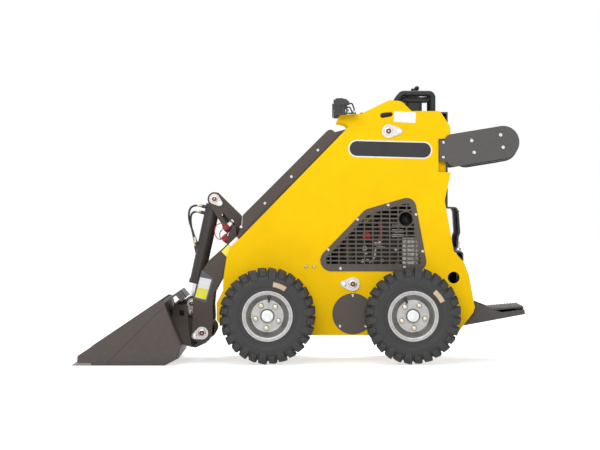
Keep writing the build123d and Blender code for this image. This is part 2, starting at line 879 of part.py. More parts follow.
with BuildPart() as boom_arm:
    with BuildSketch(side_plane(1, arm_in, arm_t)):
        add(outline(arm_points, [(1, 30), (2, 30), (4, 30), (6, 40), (15, 60)]))
        with Locations((pivot_x, pivot_z)):
            Circle(pivot_boss_r)
        with Locations((hinge_x, hinge_z)):
            Circle(hinge_boss_r)
        for x, z in ((pivot_x, pivot_z), (hinge_x, hinge_z)):
            with Locations((x, z)):
                Circle(pin_dia / 2 + pin_fit, mode=Mode.SUBTRACT)
    extrude(amount=arm_t)
    # boss for the lift cylinder's eye, on the arm's inner face
    boss_from = lift_y + eye_t / 2 + side_play
    with BuildSketch(side_plane(1, boss_from, arm_in - boss_from)):
        with Locations(lift_eye):
            Circle(26)
    extrude(amount=arm_in - boss_from)
save_pair(boom_arm.part, "boom_arm")

cover_points = [
    along_boom(cover_rear, skirt_low),
    along_boom(cover_rear, cover_top),
    along_boom(cover_front - cover_rake, cover_top),
    along_boom(cover_front, skirt_low),
]
cover_rounds = [(1, 24), (2, 18)]
with BuildPart() as boom_cover:
    for name, side in SIDES:
        with BuildSketch(side_plane(side, arm_out, skirt_t)):
            add(outline(cover_points, cover_rounds))
        extrude(amount=skirt_t)
    with BuildSketch(cross_plane(arm_out)):
        add(outline(cover_points, cover_rounds))
        with BuildSketch(mode=Mode.SUBTRACT):
            add(
                outline(
                    [
                        along_boom(cover_rear + cover_t, skirt_low - 1),
                        along_boom(cover_rear + cover_t, cover_top - cover_t),
                        along_boom(cover_front - cover_rake - cover_t, cover_top - cover_t),
                        along_boom(cover_front - cover_t, skirt_low - 1),
                    ],
                    [(1, 20), (2, 14)],
                )
            )
    extrude(amount=2 * arm_out)
    # the end walls stop above the arms
    for name, side in SIDES:
        with BuildSketch(side_plane(side, arm_in - 0.3, arm_t + 0.3)):
            add(outline([along_boom(100, arm_top), along_boom(900, arm_top),
                         along_boom(900, arm_top - 60), along_boom(100, arm_top - 60)]))
        extrude(amount=arm_t + 0.3, mode=Mode.SUBTRACT)
save(boom_cover.part, "boom_cover")

# cross box in the boom's elbow, with the two ears of the tilt cylinder on it
ear_in = 45.0
ear_t = 12.0
ear_r = 33.0
box_points = [
    (-295.0, 596.0),
    (-405.0, 506.0),
    (-405.0, 440.0),
    (-366.0, 422.0),
    (-352.0, 494.0),
    (-318.0, 540.0),
]
ear_points = [
    (-395.7, 808.9),
    (-279.5, 695.0),
    (-287.0, 598.0),
    (-356.0, 543.0),
    (-344.0, 608.0),
    (-366.0, 639.0),
    (-442.0, 760.0),
    (tilt_top_x, tilt_top_z),
]
ear_slot = [(-379, 702), (-334, 631), (-300, 624), (-312, 642), (-368, 710)]
ear_web = [(-372, 712), (-284, 690), (-293, 594), (-345, 551), (-352, 610), (-376, 648)]
ear_web_t = 8.0
with BuildPart() as boom_cross_box:
    with BuildSketch(cross_plane(ear_web_t / 2)):
        add(outline(ear_web))
    extrude(amount=ear_web_t)
    with BuildSketch(cross_plane(arm_in)):
        add(outline(box_points))
        with BuildSketch(mode=Mode.SUBTRACT):
            add(outline(box_points))
            offset(amount=-8)
    extrude(amount=2 * arm_in)
    for name, side in SIDES:
        with BuildSketch(side_plane(side, ear_in, ear_t)):
            add(outline(ear_points, [(1, 14)]))
            with Locations((tilt_top_x, tilt_top_z)):
                Circle(ear_r)
            add(outline(ear_slot), mode=Mode.SUBTRACT)
            with Locations((tilt_top_x, tilt_top_z)):
                Circle(pin_dia / 2 + pin_fit, mode=Mode.SUBTRACT)
        extrude(amount=ear_t)
save(boom_cross_box.part, "boom_cross_box")

lug_t = 14.0
lug_in = arm_in - 5 - lug_t  # inner face of a hinge lug on the quick attach
cross_tube_x = -438.0
cross_tube_z = 156.0
cross_tube_r = 40.0
web_t = 12.0
web_out = lug_in - 5     # outer face of the fork's inner web
web_points = [
    (-405.0, 439.7),
    (-457.0, 430.0),
    (-500.0, 312.0),
    (-500.0, 227.0),
    (hinge_x - 40, hinge_z),
    (hinge_x + 40, hinge_z),
    (-412.0, 207.0),
    (-415.0, 266.0),
    (-409.0, 327.0),
    (-370.0, 421.7),
]
with BuildPart() as boom_cross_tube:
    with BuildSketch(cross_plane(web_out)):
        with Locations((cross_tube_x, cross_tube_z)):
            Circle(cross_tube_r)
            Circle(cross_tube_r - 8, mode=Mode.SUBTRACT)
    extrude(amount=2 * web_out)
    for name, side in SIDES:
        with BuildSketch(side_plane(side, web_out - web_t, web_t)):
            add(outline(web_points))
            with Locations((hinge_x, hinge_z)):
                Circle(40)
        extrude(amount=web_t)
    with BuildSketch(cross_plane(web_out)):
        with Locations((hinge_x, hinge_z)):
            Circle(pin_dia / 2 + pin_fit)
    extrude(amount=2 * web_out, mode=Mode.SUBTRACT)
save(boom_cross_tube.part, "boom_cross_tube")

# pins carried by the boom: the tilt cylinder's top pin and the bucket's hinge pins
with BuildPart() as boom_pins:
    with BuildSketch(cross_plane(ear_in + ear_t + 3)):
        with Locations((tilt_top_x, tilt_top_z)):
            Circle(pin_dia / 2)
    extrude(amount=2 * (ear_in + ear_t + 3))
    with BuildSketch(side_plane(1, ear_in + ear_t, keeper_t)):
        add(keeper(tilt_top_x, tilt_top_z, tilt_top_x + 28.2, tilt_top_z - 22.6, 25, 13))
    extrude(amount=keeper_t)
    for name, side in SIDES:
        pin_in = web_out - web_t - 3
        with BuildSketch(side_plane(side, pin_in, arm_out + keeper_t + 3 - pin_in)):
            with Locations((hinge_x, hinge_z)):
                Circle(pin_dia / 2)
        extrude(amount=arm_out + keeper_t + 3 - pin_in)
        with BuildSketch(side_plane(side, arm_out, keeper_t)):
            add(keeper(hinge_x, hinge_z, hinge_x - 34.7, hinge_z - 14.5, 30, 14))
        extrude(amount=keeper_t)
save(boom_pins.part, "boom_pins")

# two quick couplers on a bracket of the cross box
coupler_len = 55.0
coupler_r = 14.0
coupler_rows = (
    # y, x and z of the cap's face
    (-95.0, -363.0, 580.0),
    (-142.0, -356.0, 630.0),
)
with BuildPart() as aux_couplers:
    for y, x, z in coupler_rows:
        low = Vector(x, y, z)
        along = Vector(1, 0, 1).normalized()
        with BuildSketch(Plane(low, z_dir=along)):
            Circle(coupler_r + 2.5)
        extrude(amount=14)
        with BuildSketch(Plane(low, z_dir=along)):
            Circle(coupler_r)
        extrude(amount=coupler_len)
        with BuildSketch(Plane(low + along * 24, z_dir=along)):
            Circle(coupler_r + 2)
        extrude(amount=10)
    with BuildSketch(Plane.XZ.offset(70)):
        add(outline([(-318.0, 577.2), (-350.0, 551.0), (-350.0, 585.0), (-335.0, 622.0),
                     (-320.0, 655.0), (-306.0, 650.0), (-303.0, 594.0)]))
    extrude(amount=95)
save(aux_couplers.part, "aux_couplers")

# ---------------------------------------------------------------- quick attach
attach_half = 300.0
attach_t = 10.0
rod_ear_in = eye_t / 2 + 12
rod_pin_r = 15.0
rod_ear_t = 12.0
attach_face = [(-597.0, 282.0), (-607.0, 219.0), (-553.0, 87.0), (-511.0, 75.0)]
with BuildPart() as quick_attach:
    with BuildSketch(cross_plane(attach_half)):
        add(bent_plate(attach_face, attach_t, Side.LEFT))
    extrude(amount=2 * attach_half)
    # ears of the tilt rod
    for name, side in SIDES:
        with BuildSketch(side_plane(side, rod_ear_in, rod_ear_t)):
            add(outline([(-598.0, 276.0), (-604.0, 219.0), (-556.0, 100.0),
                         (rod_pin_x + 10, 180.0), (rod_pin_x + 33, rod_pin_z), (rod_pin_x, rod_pin_z + 33)]))
            with Locations((rod_pin_x, rod_pin_z)):
                Circle(35)
                Circle(rod_pin_r + pin_fit, mode=Mode.SUBTRACT)
        extrude(amount=rod_ear_t)
    # lugs on the boom's hinge pins
    for name, side in SIDES:
        with BuildSketch(side_plane(side, lug_in, lug_t)):
            add(outline([(-603.0, 222.0), (-553.0, 90.0), (-511.0, 78.0), (hinge_x, hinge_z - 45),
                         (hinge_x + 32, hinge_z + 32), (hinge_x - 20, hinge_z + 60)]))
            with Locations((hinge_x, hinge_z)):
                Circle(45)
                Circle(pin_dia / 2 + pin_fit, mode=Mode.SUBTRACT)
        extrude(amount=lug_t)
    # end plates with a square hole
    for name, side in SIDES:
        with BuildSketch(side_plane(side, attach_half - 10, 10)):
            add(outline([(-598.0, 278.0), (-605.0, 219.0), (-553.0, 89.0), (-514.0, 80.0),
                         (-530.0, 190.0), (-530.0, 278.0)], [(4, 30), (5, 12)]))
            with Locations((-560.0, 237.0)):
                Rectangle(22, 25, mode=Mode.SUBTRACT)
        extrude(amount=10)
save(quick_attach.part, "quick_attach")

with BuildPart() as rod_pin:
    for name, side in SIDES:
        with BuildSketch(side_plane(side, rod_ear_in - 1, rod_ear_t + 4)):
            with Locations((rod_pin_x, rod_pin_z)):
                Circle(rod_pin_r)
        extrude(amount=rod_ear_t + 4)
        with BuildSketch(side_plane(side, rod_ear_in + rod_ear_t, keeper_t)):
            add(keeper(rod_pin_x, rod_pin_z, rod_pin_x - 10, rod_pin_z - 44, 23, 13))
        extrude(amount=keeper_t)
save(rod_pin.part, "rod_pin")

# ---------------------------------------------------------------- bucket
bucket_half = bucket_width / 2
edge_reach = 93.0
edge_t = 12.0
crease_depth = 3.0       # how far a side's lower part is set in
edge_back_x = bucket_tip_x + edge_reach
heel = (-630.7, 0.0)
back_points = [heel, (-566.0, 34.0), (-556.0, 90.0), (-608.0, 219.0), (bucket_back_x, bucket_top_z - 3)]
side_points = [
    (edge_back_x, 0.0),
    *back_points,
    (-654.7, bucket_top_z),
    (-1038.7, 45.0),
    (-1040.0, edge_t),
    (edge_back_x, edge_t),
]
hook_points = [(bucket_back_x, bucket_top_z - 6), (-577.0, 337.0), (-548.0, bucket_top_z)]
hook_gap = 65.0          # half width left open for the tilt rod
with BuildPart() as bucket_shell:
    for name, side in SIDES:
        with BuildSketch(side_plane(side, bucket_half - shell_t, shell_t)):
            add(outline(side_points))
        extrude(amount=shell_t)
        with BuildSketch(side_plane(side, bucket_half - crease_depth, crease_depth)):
            add(outline([(-918.0, -5.0), (-644.0, 268.0), (-590.0, 268.0), (-540.0, 90.0), (-560.0, -5.0)]))
        extrude(amount=crease_depth, mode=Mode.SUBTRACT)
        with BuildSketch(side_plane(side, hook_gap, bucket_half - hook_gap)):
            add(bent_plate(hook_points, shell_t, Side.RIGHT))
        extrude(amount=bucket_half - hook_gap)
    with BuildSketch(cross_plane(bucket_half)):
        add(bent_plate([(edge_back_x, 0.0), *back_points], shell_t, Side.LEFT))
    extrude(amount=2 * bucket_half)
save(bucket_shell.part, "bucket_shell")

with BuildPart() as cutting_edge:
    with BuildSketch(cross_plane(bucket_half)):
        add(outline([(bucket_tip_x, 0.0), (bucket_tip_x + 40, edge_t), (edge_back_x, edge_t),
                     (edge_back_x, 0.0)]))
    extrude(amount=2 * bucket_half)
save(cutting_edge.part, "cutting_edge")

# ---------------------------------------------------------------- cylinders
def barrel(y, width, top, foot, length, dia, rod_dia):
    """Barrel with an eye round top, pointing at foot; bored for its rod."""
    top = Vector(top[0], y, top[1])
    foot = Vector(foot[0], y, foot[1])
    run = (foot - top).normalized()
    with BuildPart() as tube:
        with BuildSketch(Plane.XZ.offset(-y - width / 2)):
            with Locations((top.X, top.Z)):
                Circle(pin_dia / 2 + 11)
                Circle(pin_dia / 2 + pin_fit, mode=Mode.SUBTRACT)
        extrude(amount=width)
        start = top + run * (pin_dia / 2 + 8)
        with BuildSketch(Plane(start, z_dir=run)):
            Circle(dia / 2)
        extrude(amount=length - pin_dia / 2 - 8)
        with BuildSketch(Plane(top + run * (length - 22), z_dir=run)):
            Circle(dia / 2 + 3)
        extrude(amount=22)
        with BuildSketch(Plane(start + run * 20, z_dir=run)):
            Circle(rod_dia / 2 + pin_fit)
        extrude(amount=length, mode=Mode.SUBTRACT)
    return tube.part


def rod(y, width, top, foot, length, dia, inside):
    """Rod reaching inside its barrel, with a closed eye round foot."""
    top = Vector(top[0], y, top[1])
    foot = Vector(foot[0], y, foot[1])
    run = (foot - top).normalized()
    with BuildPart() as bar:
        with BuildSketch(Plane.XZ.offset(-y - width / 2)):
            with Locations((foot.X, foot.Z)):
                Circle(28)
        extrude(amount=width)
        start = top + run * (length - inside)
        with BuildSketch(Plane(start, z_dir=run)):
            Circle(dia / 2)
        extrude(amount=(foot - start).length - 10)
    return bar.part


tilt_top = (tilt_top_x, tilt_top_z)
rod_eye = (rod_pin_x, rod_pin_z)
rod_inside = 300.0       # of the rod's length, inside its barrel
hose_dia = 10.0
port_len = 16.0
port_r = 8.5
tilt_len = hypot(rod_pin_x - tilt_top_x, rod_pin_z - tilt_top_z)
tilt_run = Vector((rod_pin_x - tilt_top_x) / tilt_len, 0, (rod_pin_z - tilt_top_z) / tilt_len)
tilt_out = Vector(tilt_run.Z, 0, -tilt_run.X)  # square to the barrel, to the front
hose_rows = (
    # name, y, how far along the barrel its port is, the same of its lower fitting,
    # how far it stands out before its first bend, then (x, z) of the other corners
    ("upper", -9.0, 46.0, 222.0, 54.0, ((-541.0, 690.0), (-512.0, 607.0))),
    ("lower", 9.0, 76.0, 240.0, 43.0, ((-531.0, 672.0), (-513.0, 595.0))),
)
hose_bends = (20.0, 60.0, 90.0)


def hose_route(y, high, low, stand, corners):
    """Corners of a hose, from its port at the barrel's top to its lower fitting."""
    top = Vector(tilt_top_x, y, tilt_top_z)
    face = tilt_barrel_dia / 2 + port_len
    start = top + tilt_run * high + tilt_out * face
    finish = top + tilt_run * low + tilt_out * (face - 8)
    return [start, start + tilt_out * stand, *[Vector(x, y, z) for x, z in corners], finish]


with BuildPart() as tilt_barrel:
    add(barrel(0.0, 2 * (ear_in - side_play), tilt_top, rod_eye, tilt_barrel_len, tilt_barrel_dia,
               tilt_rod_dia))
    for name, *row in hose_rows:
        route = hose_route(*row)
        with BuildSketch(Plane(route[0], z_dir=-tilt_out)):
            Circle(port_r)
        extrude(amount=port_len + 4)
        with BuildSketch(Plane(route[-1], z_dir=route[-1] - route[-2])):
            Circle(port_r)
        extrude(amount=34)
save(tilt_barrel.part, "tilt_barrel")
save(rod(0.0, 2 * (rod_ear_in - 1 - side_play), tilt_top, rod_eye, tilt_barrel_len, tilt_rod_dia, rod_inside),
     "tilt_rod")

for name, *row in hose_rows:
    route = hose_route(*row)
    with BuildPart() as tilt_hose:
        with BuildLine():
            FilletPolyline(*route, radius=hose_bends)
        with BuildSketch(Plane(route[0], z_dir=tilt_out)):
            Circle(hose_dia / 2)
        sweep()
    save(tilt_hose.part, f"tilt_hose_{name}")

lift_base = (lift_base_x, lift_base_z)
lift_len = hypot(lift_eye[0] - lift_base_x, lift_eye[1] - lift_base_z)
lift_barrel_len = lift_len - 55
lift_inside = 400.0      # of a rod's length, inside its barrel
for name, side in SIDES:
    y = -side * lift_y
    save(barrel(y, eye_t, lift_base, lift_eye, lift_barrel_len, lift_barrel_dia, lift_rod_dia),
         f"lift_barrel_{name}")
    save(rod(y, eye_t, lift_base, lift_eye, lift_barrel_len, lift_rod_dia, lift_inside),
         f"lift_rod_{name}")

# ---------------------------------------------------------------- joint places
def swing(pivot, place, turn):
    """Place (x, z) turned about a pivot, positive lifting the front."""
    a = radians(-turn)
    dx, dz = place[0] - pivot[0], place[1] - pivot[1]
    return (pivot[0] + dx * cos(a) - dz * sin(a), pivot[1] + dx * sin(a) + dz * cos(a))


def reach(near, far):
    """Length from near to far, and its direction in degrees."""
    dx, dz = far[0] - near[0], far[1] - near[1]
    return hypot(dx, dz), degrees(atan2(dz, dx))


boom_pivot = (pivot_x, pivot_z)
hinge = (hinge_x, hinge_z)
for label, base, eye, pivot, turn in (
    ("lift", lift_base, lift_eye, boom_pivot, boom_raise),
    ("tilt dumped", tilt_top, rod_eye, hinge, -bucket_dump),
    ("tilt curled", tilt_top, rod_eye, hinge, bucket_curl),
):
    length, angle = reach(base, eye)
    far_length, far_angle = reach(base, swing(pivot, eye, turn))
    print(f"{label}: {length:.1f} mm to {far_length:.1f} mm, turns {angle - far_angle:.2f} degrees")
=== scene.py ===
"""Looks of the stand-on skid steer loader, in metres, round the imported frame."""
import json
from math import atan2, cos, pi, radians, sin, sqrt, tau

import bmesh
import bpy
from mathutils import Matrix, Vector


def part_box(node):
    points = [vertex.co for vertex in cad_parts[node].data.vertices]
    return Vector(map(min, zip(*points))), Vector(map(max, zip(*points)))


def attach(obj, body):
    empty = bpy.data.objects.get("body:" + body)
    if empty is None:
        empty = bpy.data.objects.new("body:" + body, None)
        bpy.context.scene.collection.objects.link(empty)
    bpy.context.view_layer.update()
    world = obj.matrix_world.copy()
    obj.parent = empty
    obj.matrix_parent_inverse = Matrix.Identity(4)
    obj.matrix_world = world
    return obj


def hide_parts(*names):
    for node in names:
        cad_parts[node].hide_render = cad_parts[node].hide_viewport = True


MM = 0.001
shift = Matrix.Translation
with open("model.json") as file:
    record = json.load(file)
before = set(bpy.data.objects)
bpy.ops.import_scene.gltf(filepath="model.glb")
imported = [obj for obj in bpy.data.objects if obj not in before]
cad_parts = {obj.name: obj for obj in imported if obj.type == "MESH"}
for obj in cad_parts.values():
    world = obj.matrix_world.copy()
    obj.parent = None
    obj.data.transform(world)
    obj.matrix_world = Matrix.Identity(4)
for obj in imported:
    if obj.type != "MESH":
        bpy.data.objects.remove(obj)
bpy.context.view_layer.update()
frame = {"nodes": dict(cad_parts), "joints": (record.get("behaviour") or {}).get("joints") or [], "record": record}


# -------- materials
class Look:
    """A material under construction; its noise lies over the piece's own coordinates and rides with it."""

    def __init__(self, name):
        self.mat = bpy.data.materials.new(name)
        self.mat.use_nodes = True
        self.nodes, self.link = self.mat.node_tree.nodes, self.mat.node_tree.links.new
        self.bsdf = self.nodes["Principled BSDF"]

    def node(self, kind, **values):
        """A node with these inputs set, each named with _ for a space."""
        node = self.nodes.new(f"ShaderNode{kind}")
        for key, value in values.items():
            node.inputs[key.replace("_", " ")].default_value = value
        return node

    def feed(self, key, source):
        """Links a socket to one of the shader's inputs."""
        self.link(source, self.bsdf.inputs[key])

    def noise(self, scale, detail, rough=0.5, stretch=(1, 1, 1)):
        mapping = self.node("Mapping", Scale=stretch)
        tex = self.node("TexNoise", Scale=scale, Detail=detail, Roughness=rough)
        self.link(self.node("TexCoord").outputs["Object"], mapping.inputs["Vector"])
        self.link(mapping.outputs[0], tex.inputs["Vector"])
        return tex.outputs["Fac"]

    def shades(self, fac, base, *stops):
        """The base colour times the factor of each of two (position, factor) stops."""
        node = self.node("ValToRGB")
        for point, (place, factor) in zip(node.color_ramp.elements, stops):
            point.position = place
            point.color = (*(min(1.0, c * factor) for c in base), 1)
        self.link(fac, node.inputs["Fac"])
        return node.outputs["Color"]

    def remap(self, fac, low, high, to_low, to_high):
        node = self.node("MapRange", From_Min=low, From_Max=high, To_Min=to_low, To_Max=to_high)
        self.link(fac, node.inputs["Value"])
        return node.outputs[0]

    def stained(self, fac, colour, stain):
        """The colour's socket where fac is 0, the stain's colour where it is 1."""
        node = self.node("Mix")
        node.data_type = "RGBA"
        self.link(fac, node.inputs[0])
        self.link(colour, node.inputs[6])
        node.inputs[7].default_value = (*stain, 1)
        return node.outputs[2]

    def bump(self, height, strength, distance, edge):
        """Bump from a height, over edges softened by a small bevel where edge is given."""
        node = self.node("Bump", Strength=strength, Distance=distance)
        self.link(height, node.inputs["Height"])
        if edge:
            soft = self.node("Bevel", Radius=edge)
            soft.samples = 4
            self.link(soft.outputs[0], node.inputs["Normal"])
        self.feed("Normal", node.outputs[0])


def paint(name, base, rough, dust=0.08, grain_bump=0.05, specular=0.3):
    """Sprayed paint: slight mottling, fine orange peel and a little dust."""
    look = Look(name)
    smut = look.noise(38.0, 8.0, 0.7)
    colour = look.shades(look.noise(5.0, 6.0, 0.6), base, (0.3, 0.93), (0.7, 1.05))
    look.feed("Base Color", look.stained(look.remap(smut, 0.52, 0.78, 0.0, dust), colour, (0.32, 0.28, 0.22)))
    look.feed("Roughness", look.remap(smut, 0.3, 0.8, rough - 0.05, rough + 0.14))
    look.bsdf.inputs["Specular IOR Level"].default_value = specular
    look.bump(look.noise(900.0, 3.0), grain_bump, 0.0006, 0.0012)
    return look.mat


def metal(name, base, rough, stain_by, stretch=(1, 1, 1)):
    """Bare or plated metal with fine grain and a little staining."""
    look = Look(name)
    colour = look.shades(look.noise(55.0, 6.0, 0.65), base, (0.35, 0.86), (0.65, 1.08))
    fac = look.remap(look.noise(21.0, 8.0, 0.75), 0.55, 0.8, 0.0, stain_by)
    look.feed("Base Color", look.stained(fac, colour, (0.2, 0.15, 0.1)))
    look.bsdf.inputs["Metallic"].default_value = 1.0
    fine = look.noise(420.0, 4.0, 0.6, stretch)
    look.feed("Roughness", look.remap(fine, 0.3, 0.7, rough - 0.08, rough + 0.12))
    look.bump(fine, 0.08, 0.0004, 0.0006)
    return look.mat


def plastic(name, base, rough, grain_bump, grain=700.0):
    """Moulded, lightly textured plastic."""
    look = Look(name)
    cloud = look.noise(9.0, 5.0, 0.6)
    look.feed("Base Color", look.shades(cloud, base, (0.3, 0.85), (0.7, 1.2)))
    look.feed("Roughness", look.remap(cloud, 0.3, 0.7, rough - 0.06, rough + 0.08))
    look.bump(look.noise(grain, 2.0), grain_bump, 0.0005, 0.0015)
    return look.mat


def rubber(name, base, rough, edge=0.0):
    """Moulded rubber with a dry bloom and a fine pebble."""
    look = Look(name)
    cloud = look.noise(14.0, 7.0, 0.65)
    look.feed("Base Color", look.shades(cloud, base, (0.32, 0.8), (0.72, 1.55)))
    look.feed("Roughness", look.remap(cloud, 0.3, 0.7, rough - 0.1, rough + 0.1))
    look.bump(look.noise(620.0, 4.0), 0.25, 0.0006, edge)
    return look.mat


# -------- stage, lamps and camera
def added(name, data):
    """Object of this data, in the scene's collection."""
    obj = bpy.data.objects.new(name, data)
    bpy.context.collection.objects.link(obj)
    return obj


def aim(obj, place, target):
    """Puts a camera or lamp at the place and turns it to the target."""
    obj.location = place
    obj.rotation_euler = (Vector(target) - obj.location).to_track_quat("-Z", "Y").to_euler()


def set_camera():
    """Level view of the left side from far off, so that depth hardly shows."""
    away, rise, view_width, sensor = 16.0, 0.12, 2.82, 36.0
    look = Vector((0.0, -0.42, 0.655))
    data = bpy.data.cameras.new("camera")
    data.sensor_width = sensor
    data.lens = sensor * away / view_width
    cam = added("camera", data)
    aim(cam, look + Vector((0.0, -away, rise)), look)
    bpy.context.scene.camera = cam


def seen_rays(nodes, link):
    """1 on camera, mirror and glass rays, 0 on the rays that light the object."""
    path = nodes.new("ShaderNodeLightPath")
    rays = path.outputs["Is Camera Ray"]
    for ray in ("Is Glossy Ray", "Is Transmission Ray"):
        either = nodes.new("ShaderNodeMath")
        either.operation = "MAXIMUM"
        link(rays, either.inputs[0])
        link(path.outputs[ray], either.inputs[1])
        rays = either.outputs[0]
    return rays


def add_stage():
    """Pale floor that looks white where it is lit and keeps the shadow."""
    size, drop, pale, rough, glow_by = 40.0, -0.0005, 0.9, 0.9, 0.66
    mesh = bpy.data.meshes.new("floor")
    corners = ((-1, -1), (1, -1), (1, 1), (-1, 1))
    mesh.from_pydata([(x * size, y * size, drop) for x, y in corners], [], [(0, 1, 2, 3)])
    look = Look("floor_pale")
    look.bsdf.inputs["Base Color"].default_value = (pale, pale, pale, 1)
    look.bsdf.inputs["Roughness"].default_value = rough
    glow, gain, both = look.node("Emission"), look.node("Math"), look.node("AddShader")
    gain.operation = "MULTIPLY"
    gain.inputs[1].default_value = glow_by
    for source, socket in ((seen_rays(look.nodes, look.link), gain.inputs[0]),
                           (gain.outputs[0], glow.inputs["Strength"]),
                           (look.bsdf.outputs[0], both.inputs[0]), (glow.outputs[0], both.inputs[1]),
                           (both.outputs[0], look.nodes["Material Output"].inputs["Surface"])):
        look.link(source, socket)
    mesh.materials.append(look.mat)
    added("floor", mesh)


def add_lamp(name, place, size, power):
    data = bpy.data.lights.new(name, "AREA")
    data.shape = "RECTANGLE"
    data.size, data.size_y = size
    data.energy = power
    aim(added(name, data), place, (0, 0, 0.4))


def add_world():
    """Plain light from all round, seen as white."""
    lights, seen_as = 0.52, 1.0
    world = bpy.data.worlds.new("world")
    bpy.context.scene.world = world
    world.use_nodes = True
    nodes, link = world.node_tree.nodes, world.node_tree.links.new
    nodes.clear()
    mix = nodes.new("ShaderNodeMixShader")
    link(seen_rays(nodes, link), mix.inputs["Fac"])
    for socket, strength in ((mix.inputs[1], lights), (mix.inputs[2], seen_as)):
        back = nodes.new("ShaderNodeBackground")
        back.inputs["Color"].default_value = (1, 1, 1, 1)
        back.inputs["Strength"].default_value = strength
        link(back.outputs[0], socket)
    link(mix.outputs[0], nodes.new("ShaderNodeOutputWorld").inputs["Surface"])


set_camera()
add_stage()
add_world()
add_lamp("key", (-5.0, -8.5, 5.2), (3.6, 3.6), 165)
add_lamp("fill", (6.5, -8.0, 2.6), (3.6, 3.6), 75)
add_lamp("front", (-0.7, -8.0, 3.7), (3.2, 2.4), 200)
add_lamp("top", (0.3, 1.5, 6.0), (3.6, 3.6), 130)
bpy.context.scene.view_settings.view_transform = "Standard"


# -------- looks by name, those of the slots among them
LOOKS = {}


def add_looks(make, **rows):
    """Makes each row's material, to be known by the row's name."""
    for name, values in rows.items():
        LOOKS[name] = make(f"{name}_look", *values)


add_looks(
    paint, yellow_paint=((0.985, 0.595, 0.004), 0.36, 0.01, 0.03, 0.04),
    frame_grey=((0.083, 0.08, 0.076), 0.42, 0.06), boom_grey=((0.073, 0.055, 0.046), 0.44, 0.06),
    trim_grey=((0.092, 0.074, 0.063), 0.42, 0.05), bucket_grey=((0.077, 0.062, 0.057), 0.46, 0.1),
    platform_black=((0.066, 0.06, 0.057), 0.46, 0.12), cylinder_black=((0.05, 0.043, 0.04), 0.36, 0.05),
    guard_black=((0.02, 0.02, 0.02), 0.42, 0.03), engine_iron=((0.035, 0.035, 0.037), 0.55, 0.2),
    primer=((0.26, 0.085, 0.05), 0.5, 0.1), heat_shield=((0.88, 0.87, 0.84), 0.42, 0.05, 0.05, 0.9))
add_looks(
    metal, edge_steel=((0.2, 0.185, 0.175), 0.48, 0.3), pin_steel=((0.47, 0.46, 0.44), 0.4, 0.15),
    rod_chrome=((0.78, 0.78, 0.78), 0.12, 0.03), rim_silver=((0.36, 0.355, 0.35), 0.4, 0.12),
    zinc=((0.62, 0.62, 0.61), 0.34, 0.05), gold_zinc=((0.56, 0.52, 0.4), 0.32, 0.16),
    brushed=((0.6, 0.61, 0.61), 0.36, 0.04, (30, 30, 1)))
add_looks(
    plastic, cover_plastic=((0.022, 0.022, 0.022), 0.55, 0.22), red_plastic=((0.66, 0.022, 0.022), 0.36, 0.08),
    black_plastic=((0.013, 0.013, 0.013), 0.38, 0.12), green_plastic=((0.38, 0.5, 0.04), 0.4, 0.08),
    # seal_red is the caps' red plastic darkened: painted shade for the far cap behind the bracket
    seal_red=((0.26, 0.014, 0.014), 0.42, 0.08), shell_grey=((0.085, 0.085, 0.088), 0.42, 0.1),
    led=((0.9, 0.84, 0.45), 0.25, 0.02), white_film=((0.84, 0.85, 0.86), 0.34, 0.03, 300.0),
    yellow_film=((0.93, 0.8, 0.07), 0.34, 0.03, 300.0), blue_film=((0.088, 0.088, 0.115), 0.34, 0.03, 300.0),
    black_film=((0.006, 0.006, 0.007), 0.6, 0.03, 300.0), tan_paper=((0.58, 0.43, 0.29), 0.62, 0.12, 260.0))
add_looks(
    rubber, pad_foam=((0.014, 0.014, 0.014), 0.78), vinyl=((0.018, 0.018, 0.019), 0.52),
    hose_rubber=((0.016, 0.016, 0.016), 0.5), tyre_rubber=((0.022, 0.022, 0.022), 0.66, 0.002))
SLOTS = {part["node"]: part["material_slot"] for part in frame["record"]["subparts"]}
# nodes with a look of their own within their slot
OWN_LOOK = {"grille_left": "trim_grey", "grille_right": "trim_grey", "disc_covers": "trim_grey",
            "bucket_shell": "bucket_grey", "aux_couplers": "boom_grey"}


def dress_nodes():
    """Gives every CAD node the look of its slot."""
    for node, obj in frame["nodes"].items():
        mat = LOOKS[OWN_LOOK.get(node, SLOTS[node])]
        if not obj.material_slots:
            obj.data.materials.append(mat)
        for material_slot in obj.material_slots:
            material_slot.material = mat


dress_nodes()


# -------- mesh building
def turned(axis, place):
    """Frame of a small part, in millimetres: +Z along this axis, its origin at this place."""
    turn = Vector(axis).to_track_quat("Z", "Y").to_matrix().to_4x4()
    return shift(Vector(place)) @ turn @ Matrix.Scale(MM, 4)


